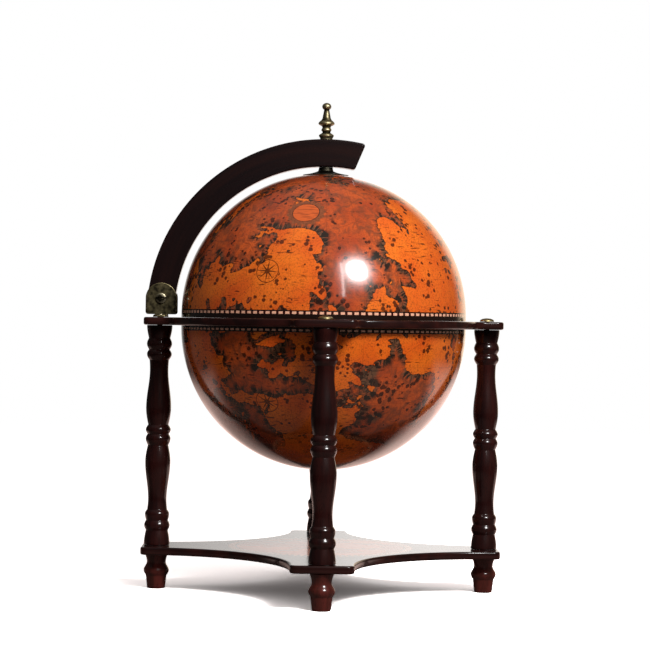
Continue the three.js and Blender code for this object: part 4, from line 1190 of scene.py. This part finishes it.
dome_map = printed_map(
    "varnished_map_dome", DOME_CENTRE, rose_turn=facing(-24, 17, 11), oval_turn=facing(-11, 44),
    boxes_low=1.4, boxes_high=4.2, line_far=1.4, black_side=-1)
pole_out = math.acos(SPINDLE_BORE / BALL_RADIUS)
pole_in = math.acos(SPINDLE_BORE / BALL_INSIDE)
dome_outline = np.concatenate([
    [[BALL_RADIUS, DOME_LOW]],
    arc(0, DOME_CENTRE, BALL_RADIUS, 0, pole_out, BALL_STEP),
    arc(0, DOME_CENTRE, BALL_INSIDE, pole_in, 0, LINING_STEP),
    [[BALL_INSIDE, DOME_LOW], [BALL_RADIUS, DOME_LOW]],
])
dome = half_ball("map_dome", dome_outline, DOME_CENTRE)
fit(dome, "dome", "dome_shell", "map_shell", dome_map, lining)


# Dome hoop: a hoop of bent wood glued inside the dome's rim, which keeps it round.
# It is stained as the boards are.

dome_hoop = lathe("dome_hoop", hoop_outline(DOME_HOOP_OUTSIDE, DOME_LOW), sides=180)
fit(dome_hoop, "dome", "dome_rim_ring", "dark_wood", board_mahogany)


# Pole saucer: a thin brass saucer spun to the ball's curve, which carries the dome's weight at the pole.
# It swells up to the ferrule, and its lip is thin against the map.

SAUCER_RADIUS = 26.5
SAUCER_LIP = 0.6
SAUCER_CROWN = 168.3
SAUCER_SWELL = 2.6
FERRULE_RADIUS = 8.9

share = np.linspace(0, 1, 30)
under_radius = SPINDLE_BORE + (SAUCER_RADIUS - SPINDLE_BORE) * share
under = np.stack([under_radius, np.sqrt(BALL_RADIUS ** 2 - under_radius ** 2) + FIT], axis=-1)
upper_radius = SAUCER_RADIUS - (SAUCER_RADIUS - FERRULE_RADIUS) * share
over_ball = np.sqrt(BALL_RADIUS ** 2 - upper_radius ** 2) + FIT
swell = SAUCER_LIP + (SAUCER_CROWN - over_ball[-1] - SAUCER_LIP) * share ** SAUCER_SWELL
upper = np.stack([upper_radius, over_ball + swell], axis=-1)
crown = [SPINDLE_BORE, SAUCER_CROWN]
saucer_outline = np.concatenate([under, upper, [crown, under[0]]]) + [0, DOME_CENTRE]
saucer = lathe("pole_saucer", saucer_outline, sides=96)
saucer_brass = antique_brass("antiqued_brass_saucer", "#454136", "#141411", 0.4)
fit(saucer, "dome", "polar_calotte", "antique_brass", saucer_brass)


# Meridian arm: a quarter arch of wood from the hinge to just past the pole, its end cut off on the rake.
# It is sawn from jointed boards, with eased edges, and stained and lacquered as the rest.

ARM_INSIDE = 173
ARM_OUTSIDE = 205
ARM_HALF_THICKNESS = 10
ARM_TIP_OUTER = 46
ARM_TIP_INNER = 33.5
TIP_ROUNDING = 3
ARM_STEP = 2.5
ARM_EASE = 1.5


def rounded_corner(before, corner, after, radius):
    """The arc of that radius that meets both sides of a corner."""
    to_before = (before - corner) / np.linalg.norm(before - corner)
    to_after = (after - corner) / np.linalg.norm(after - corner)
    half = math.acos(float(to_before @ to_after)) / 2
    middle = (to_before + to_after) / np.linalg.norm(to_before + to_after)
    centre = corner + middle * radius / math.sin(half)
    start = corner + to_before * radius / math.tan(half) - centre
    end = corner + to_after * radius / math.tan(half) - centre
    first, last = math.atan2(start[1], start[0]), math.atan2(end[1], end[0])
    last += 2 * np.pi if last < first else 0
    return arc(centre[0], centre[1], radius, first, last, 0.5)


pivot_rise = PIVOT[1] - DOME_CENTRE
pivot_angle = np.pi - math.atan2(pivot_rise, -PIVOT[0])
outer_start = math.acos(ARM_TIP_OUTER / ARM_OUTSIDE)
inner_start = math.acos(ARM_TIP_INNER / ARM_INSIDE)
outer_arc = arc(0, 0, ARM_OUTSIDE, outer_start, pivot_angle, ARM_STEP)
inner_arc = arc(0, 0, ARM_INSIDE, pivot_angle, inner_start, ARM_STEP)
end_arc = arc(PIVOT[0], pivot_rise, (ARM_OUTSIDE - ARM_INSIDE) / 2, pivot_angle, pivot_angle + np.pi)
arm_outline = np.concatenate([
    rounded_corner(inner_arc[-1], outer_arc[0], outer_arc[1], TIP_ROUNDING),
    outer_arc[2:],
    end_arc[1:-1],
    inner_arc[:-2],
    rounded_corner(inner_arc[-2], inner_arc[-1], outer_arc[0], TIP_ROUNDING),
])
arm_holes = [hole(PIVOT[0], pivot_rise, PIVOT_BORE, BORE_STEP)]
arm = slab("arch_arm", arm_outline, arm_holes, -ARM_HALF_THICKNESS, ARM_HALF_THICKNESS, ARM_EASE)
arm.data.transform(Matrix.Translation((0, 0, DOME_CENTRE * MM)) @ Matrix.Rotation(np.pi / 2, 4, "X"))
place = np.zeros(len(arm.data.vertices) * 3, np.float32)
arm.data.vertices.foreach_get("co", place)
x, y, z = (place.reshape(-1, 3) / MM).T
along = ARM_OUTSIDE * np.arctan2(z - DOME_CENTRE, x)
straight = np.stack([along, y, np.hypot(x, z - DOME_CENTRE)], axis=-1)
grain = arm.data.attributes.new("grain", "FLOAT_VECTOR", "POINT")
grain.data.foreach_set("vector", straight.astype(np.float32).ravel())
arm_mahogany = mahogany_lacquer("stained_mahogany_arch", "#110607", "#1E0B09", (0.05, 1, 1), 0.12, "grain")
fit(arm, "arm", "meridian_arm", "dark_wood", arm_mahogany)


# Ferrule, spindle, washer and nut: a zinc-plated threaded spindle hangs the dome from the arm on a washer
# and a nut inside, and a short brass ferrule keeps the saucer clear of the arm.

FERRULE_LOW = 486.6
FERRULE_HIGH = 490.5
FERRULE_NECK = 8.1
SPINDLE_RADIUS = 2.5
SPINDLE_LOW = 467.7
SPINDLE_HIGH = 545.7
SPINDLE_PITCH = 0.9
WASHER_RADIUS = 12
WASHER_LOW = 474.0
WASHER_THICKNESS = 1.6
WASHER_EASE = 0.3
SPINDLE_NUT_LOW = 469.7

share = np.linspace(0, 1, 16)
flare = FERRULE_NECK + (FERRULE_RADIUS - FERRULE_NECK) * (1 - share) ** 2
ferrule_outline = np.concatenate([
    [[SPINDLE_BORE, FERRULE_LOW]],
    np.stack([flare, FERRULE_LOW + (FERRULE_HIGH - FERRULE_LOW) * share], axis=-1),
    [[SPINDLE_BORE, FERRULE_HIGH], [SPINDLE_BORE, FERRULE_LOW]],
])
ferrule = lathe("spacer_ferrule", ferrule_outline, sides=64)
fit(ferrule, "arm", "arm_ferrule", "antique_brass", saucer_brass)
spindle = threaded_rod("threaded_spindle", SPINDLE_RADIUS, SPINDLE_LOW, SPINDLE_HIGH, SPINDLE_PITCH)
fit(spindle, "arm", "polar_spindle", "zinc_steel", zinc)
washer_high = WASHER_LOW + WASHER_THICKNESS
washer_outline = [
    [SPINDLE_BORE, WASHER_LOW], [WASHER_RADIUS - WASHER_EASE, WASHER_LOW],
    [WASHER_RADIUS, WASHER_LOW + WASHER_EASE], [WASHER_RADIUS, washer_high - WASHER_EASE],
    [WASHER_RADIUS - WASHER_EASE, washer_high], [SPINDLE_BORE, washer_high], [SPINDLE_BORE, WASHER_LOW],
]
washer = lathe("plain_washer", washer_outline, sides=48)
fit(washer, "arm", "spindle_washer", "zinc_steel", zinc)
spindle_nut_high = SPINDLE_NUT_LOW + NUT_HEIGHT
spindle_nut = hex_nut("spindle_hex_nut", NUT_RADIUS, SPINDLE_BORE, SPINDLE_NUT_LOW, spindle_nut_high)
fit(spindle_nut, "arm", "spindle_nut", "zinc_steel", zinc)


# Finial and its collar: a turned brass knob, with a ball on a flared cone and a flange, over a spool.
# They screw down on the spindle's end and clamp it to the arm. Antiqued, they are dark in the necks.

COLLAR_SEAT = 523.3
COLLAR_HEIGHT = 13.4
COLLAR_RADIUS = 8.7
COLLAR_SHARES = [
    (0, 0.8, 0), (0.16, 0.874, 0), (0.33, 1, 1), (0.62, 0.53, 1), (0.8, 0.678, 1), (1, 0.535, 0)]
FINIAL_SEAT = 537
FINIAL_HEIGHT = 28.7
FINIAL_FLANGE = 9.45
FINIAL_BALL = 5.3
FINIAL_BALL_RISE = 4.4
FINIAL_BORE_DEPTH = 9
FINIAL_SHARES = [
    (0, 0.5, 0), (0.056, 0.571, 0), (0.157, 1, 1), (0.3, 0.635, 0), (0.38, 0.508, 0), (0.7, 0.33, 0)]
FINE_STEP = 0.1
FINE_SANDED = 0.15

collar_side = turning(COLLAR_SHARES, COLLAR_HEIGHT, COLLAR_RADIUS, FINE_STEP, FINE_SANDED)
collar_outline = np.concatenate([
    [[SPINDLE_BORE, 0]],
    collar_side,
    [[SPINDLE_BORE, COLLAR_HEIGHT], [SPINDLE_BORE, 0]],
]) + [0, COLLAR_SEAT]
finial_brass = antique_brass("antiqued_brass_turned", "#C2B48C", "#2B2517", 0.3)
collar = lathe("spool_collar", collar_outline, sides=72)
fit(collar, "arm", "finial_collar", "antique_brass", finial_brass)
neck = FINIAL_SHARES[-1][1] * FINIAL_FLANGE
turn = np.linspace(-math.acos(neck / FINIAL_BALL), np.pi / 2, 40)
ball_level = FINIAL_HEIGHT + FINIAL_BALL_RISE * (np.sin(turn) - 1)
ball = np.stack([FINIAL_BALL * np.cos(turn), ball_level], axis=-1)
ball[-1, 0] = 0
finial_side = turning(FINIAL_SHARES, FINIAL_HEIGHT, FINIAL_FLANGE, FINE_STEP, FINE_SANDED)
finial_side = finial_side[finial_side[:, 1] < ball[0, 1] - FINE_STEP]
finial_outline = np.concatenate([
    [[0, FINIAL_BORE_DEPTH], [SPINDLE_BORE, FINIAL_BORE_DEPTH], [SPINDLE_BORE, 0]],
    finial_side,
    ball,
]) + [0, FINIAL_SEAT]
finial = lathe("turned_finial", finial_outline, sides=72)
fit(finial, "arm", "finial", "antique_brass", finial_brass)


# Studio: a white floor that keeps the bar's shadow, and white all round for the camera. A softbox,
# brightest at its middle, and a thin strip light stand front right, and the dome mirrors them. The
# lacquered boards and the ball's edges mirror the bright part of the floor and the world behind the bar.

FLOOR_REACH = 4
FLOOR_SINK = 0.2
FLOOR_STEP = 200
AIM = Vector((0, 0, 0.4))


def white_floor(name):
    """A white studio floor: lit paint near the bar, which keeps its shadow, and plain white further out.
    The bowl mirrors the part behind the bar as a pale, warm rim."""
    material, tree = new_finish(name)
    place = add_node(tree, "TexCoord")["Object"]
    away = add_node(tree, "VectorMath", {"operation": "LENGTH"}, {0: place})["Value"]
    far = add_node(tree, "MapRange", {"interpolation_type": "SMOOTHSTEP"}, {
        "Value": away, "From Min": 0.35, "From Max": 1.0})[0]
    axes = add_node(tree, "SeparateXYZ", (), {0: place})
    rays = add_node(tree, "LightPath")

    # Paint: so pale to the camera that only the shadow darkens it, dim to the bar, and a warm shine to
    # mirrors
    behind = add_node(tree, "MapRange", {"interpolation_type": "SMOOTHSTEP"}, {
        "Value": axes[1], "From Min": 0.04, "From Max": 0.24})[0]
    shine = add_node(tree, "Math", {"operation": "MULTIPLY"}, {0: rays["Is Glossy Ray"], 1: behind})[0]
    warm = add_node(tree, "Mix", {"data_type": "RGBA"}, {
        0: rays["Is Glossy Ray"], 6: linear("#FFF8F6"), 7: linear("#FFDACE")})[2]
    tone = add_node(tree, "MapRange", (), {
        "Value": rays["Is Camera Ray"], "To Min": 0.14, "To Max": 3.6})[0]
    tone = add_node(tree, "Math", {"operation": "MULTIPLY_ADD"}, {0: shine, 1: 1.26, 2: tone})[0]
    shade = add_node(tree, "VectorMath", {"operation": "SCALE"}, {0: warm, "Scale": tone})[0]
    paint = add_node(tree, "BsdfDiffuse", (), {"Color": shade})[0]

    # Far floor: white to the camera, and to mirrors a white patch behind the bar that fades to both sides
    off_centre = add_node(tree, "Math", {"operation": "SUBTRACT"}, {0: axes[0], 1: 0.2})[0]
    off_centre = add_node(tree, "Math", {"operation": "ABSOLUTE"}, {0: off_centre})[0]
    middle = add_node(tree, "MapRange", {"interpolation_type": "SMOOTHSTEP"}, {
        "Value": off_centre, "From Min": 0.25, "From Max": 1.1, "To Min": 1, "To Max": 0.06})[0]
    shine_far = add_node(tree, "Math", {"operation": "MULTIPLY"}, {0: shine, 1: middle})[0]
    bright = add_node(tree, "Math", {"operation": "MAXIMUM"}, {0: rays["Is Camera Ray"], 1: shine_far})[0]
    strength = add_node(tree, "Math", {"operation": "MULTIPLY"}, {0: bright, 1: 1.3})[0]
    white = add_node(tree, "Emission", (), {"Color": warm, "Strength": strength})[0]
    shader = add_node(tree, "MixShader", (), {0: far, 1: paint, 2: white})[0]
    add_node(tree, "OutputMaterial", (), {"Surface": shader})
    return material


floor_ring = arc(0, 0, FLOOR_REACH / MM, 0, 2 * np.pi, FLOOR_STEP)[:-1]
floor_flat = np.concatenate([[[0, 0]], floor_ring])
floor_points = np.column_stack([floor_flat, np.full(len(floor_flat), -FLOOR_SINK)])
spokes = np.arange(len(floor_ring))
floor_faces = np.stack([0 * spokes, spokes + 1, (spokes + 1) % len(spokes) + 1], axis=-1)
floor_mesh = bpy.data.meshes.new("studio_floor")
floor_mesh.from_pydata(floor_points * MM, [], floor_faces.tolist())
floor = bpy.data.objects.new("studio_floor", floor_mesh)
floor.data.materials.append(white_floor("white_floor"))
bpy.context.scene.collection.objects.link(floor)
floor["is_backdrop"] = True

world = bpy.data.worlds.new("white_studio")
bpy.context.scene.world = world
world.use_nodes = True
sky = world.node_tree
sky.nodes.clear()
rays = add_node(sky, "LightPath")
heading = add_node(sky, "TexCoord")["Generated"]
parts = add_node(sky, "SeparateXYZ", (), {0: heading})

# What gloss and metal mirror: a bright wall low behind the bar, less bright to its left and far right,
# and a dim ceiling
behind_right = add_node(sky, "Math", {"operation": "MULTIPLY_ADD"}, {0: parts[0], 1: 0.2, 2: parts[1]})[0]
glossy = add_node(sky, "MapRange", {"interpolation_type": "SMOOTHSTEP"}, {
    "Value": behind_right, "From Min": 0.83, "From Max": 1.0, "To Min": 0.05, "To Max": 1.26})[0]
to_right = add_node(sky, "MapRange", (), {
    "Value": parts[0], "From Min": -0.07, "From Max": 0.06, "To Min": 0.52, "To Max": 1.25})[0]
glossy = add_node(sky, "Math", {"operation": "MULTIPLY"}, {0: glossy, 1: to_right})[0]
far_right = add_node(sky, "MapRange", (), {
    "Value": parts[0], "From Min": 0.09, "From Max": 0.2, "To Min": 1, "To Max": 0.74})[0]
glossy = add_node(sky, "Math", {"operation": "MULTIPLY"}, {0: glossy, 1: far_right})[0]
ceiling = add_node(sky, "MapRange", {"interpolation_type": "SMOOTHSTEP"}, {
    "Value": parts[2], "From Min": 0.5, "From Max": 0.95, "To Max": 0.16})[0]
glossy = add_node(sky, "Math", {"operation": "MAXIMUM"}, {0: glossy, 1: ceiling})[0]

# What lights the bar from all round, more from the right, and plain white for the camera
ambient = add_node(sky, "MapRange", {"interpolation_type": "SMOOTHSTEP"}, {
    "Value": parts[0], "From Min": -0.8, "From Max": 0.8, "To Min": 0.26, "To Max": 0.48})[0]
level = add_node(sky, "Mix", {"data_type": "FLOAT"}, {
    0: rays["Is Glossy Ray"], 2: ambient, 3: glossy})[0]
level = add_node(sky, "Math", {"operation": "MAXIMUM"}, {0: level, 1: rays["Is Camera Ray"]})[0]
warmth = add_node(sky, "MapRange", (), {"Value": parts[0], "From Min": 0.09, "From Max": 0.2})[0]
warm = add_node(sky, "Mix", {"data_type": "RGBA"}, {
    0: warmth, 6: linear("#FFFAF6"), 7: linear("#FFE4C8")})[2]
tint = add_node(sky, "Mix", {"data_type": "RGBA"}, {
    0: rays["Is Glossy Ray"], 6: linear("#FFFFFF"), 7: warm})[2]
studio = add_node(sky, "Background", (), {"Color": tint, "Strength": level})[0]
add_node(sky, "OutputWorld", (), {"Surface": studio})


def lamp(name, azimuth, elevation, distance, width, height, brightness, outline="RECTANGLE"):
    """A flat white lamp that faces the bar from azimuth degrees right of the front. Its power is its
    brightness times its area and pi, as a flat lamp shines into half the room."""
    light = bpy.data.lights.new(name, "AREA")
    light.shape = outline
    light.size, light.size_y = width, height
    round_share = math.pi / 4 if outline == "ELLIPSE" else 1
    light.energy = brightness * width * height * round_share * math.pi
    a, e = math.radians(azimuth), math.radians(elevation)
    away = Vector((math.sin(a) * math.cos(e), -math.cos(a) * math.cos(e), math.sin(e)))
    placed = bpy.data.objects.new(name, light)
    placed.location = AIM + away * distance
    placed.rotation_mode = "QUATERNION"
    placed.rotation_quaternion = away.to_track_quat("Z", "Y")
    bpy.context.scene.collection.objects.link(placed)


# Softbox: a bright core on a wider cloth, with a fainter rim and spill, each just behind the one before
SOFTBOX_AZIMUTH = 28
SOFTBOX_ELEVATION = 32
SOFTBOX_LAYERS = [
    ("softbox_core", 1.8, 0.36, 38, "RECTANGLE"),
    ("softbox_cloth", 1.82, 0.54, 13, "ELLIPSE"),
    ("softbox_rim", 1.84, 0.76, 3.5, "ELLIPSE"),
    ("softbox_spill", 1.86, 1.05, 1, "ELLIPSE"),
]
for name, distance, size, brightness, outline in SOFTBOX_LAYERS:
    lamp(name, SOFTBOX_AZIMUTH, SOFTBOX_ELEVATION, distance, size, size, brightness, outline)
lamp("strip_light", azimuth=14.5, elevation=25.5, distance=1.8, width=0.04, height=0.85, brightness=16)

# Camera: a long lens in front, level with the horizon board
SENSOR_WIDTH = 36
EYE = Vector((-0.0298, -2.618, 0.3112))
LOOK_AT = Vector((0.0017, 0, 0.3077))
LENS = 124.8
ROLL = 0.86

camera = bpy.data.objects.new("camera", bpy.data.cameras.new("camera"))
camera.data.lens = LENS
camera.data.sensor_width = SENSOR_WIDTH
camera.location = EYE
camera.rotation_mode = "QUATERNION"
roll = Quaternion((0, 0, 1), math.radians(ROLL))
camera.rotation_quaternion = (LOOK_AT - EYE).to_track_quat("-Z", "Y") @ roll
bpy.context.scene.collection.objects.link(camera)
bpy.context.scene.camera = camera
bpy.context.scene.view_settings.view_transform = "Standard"

low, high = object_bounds()
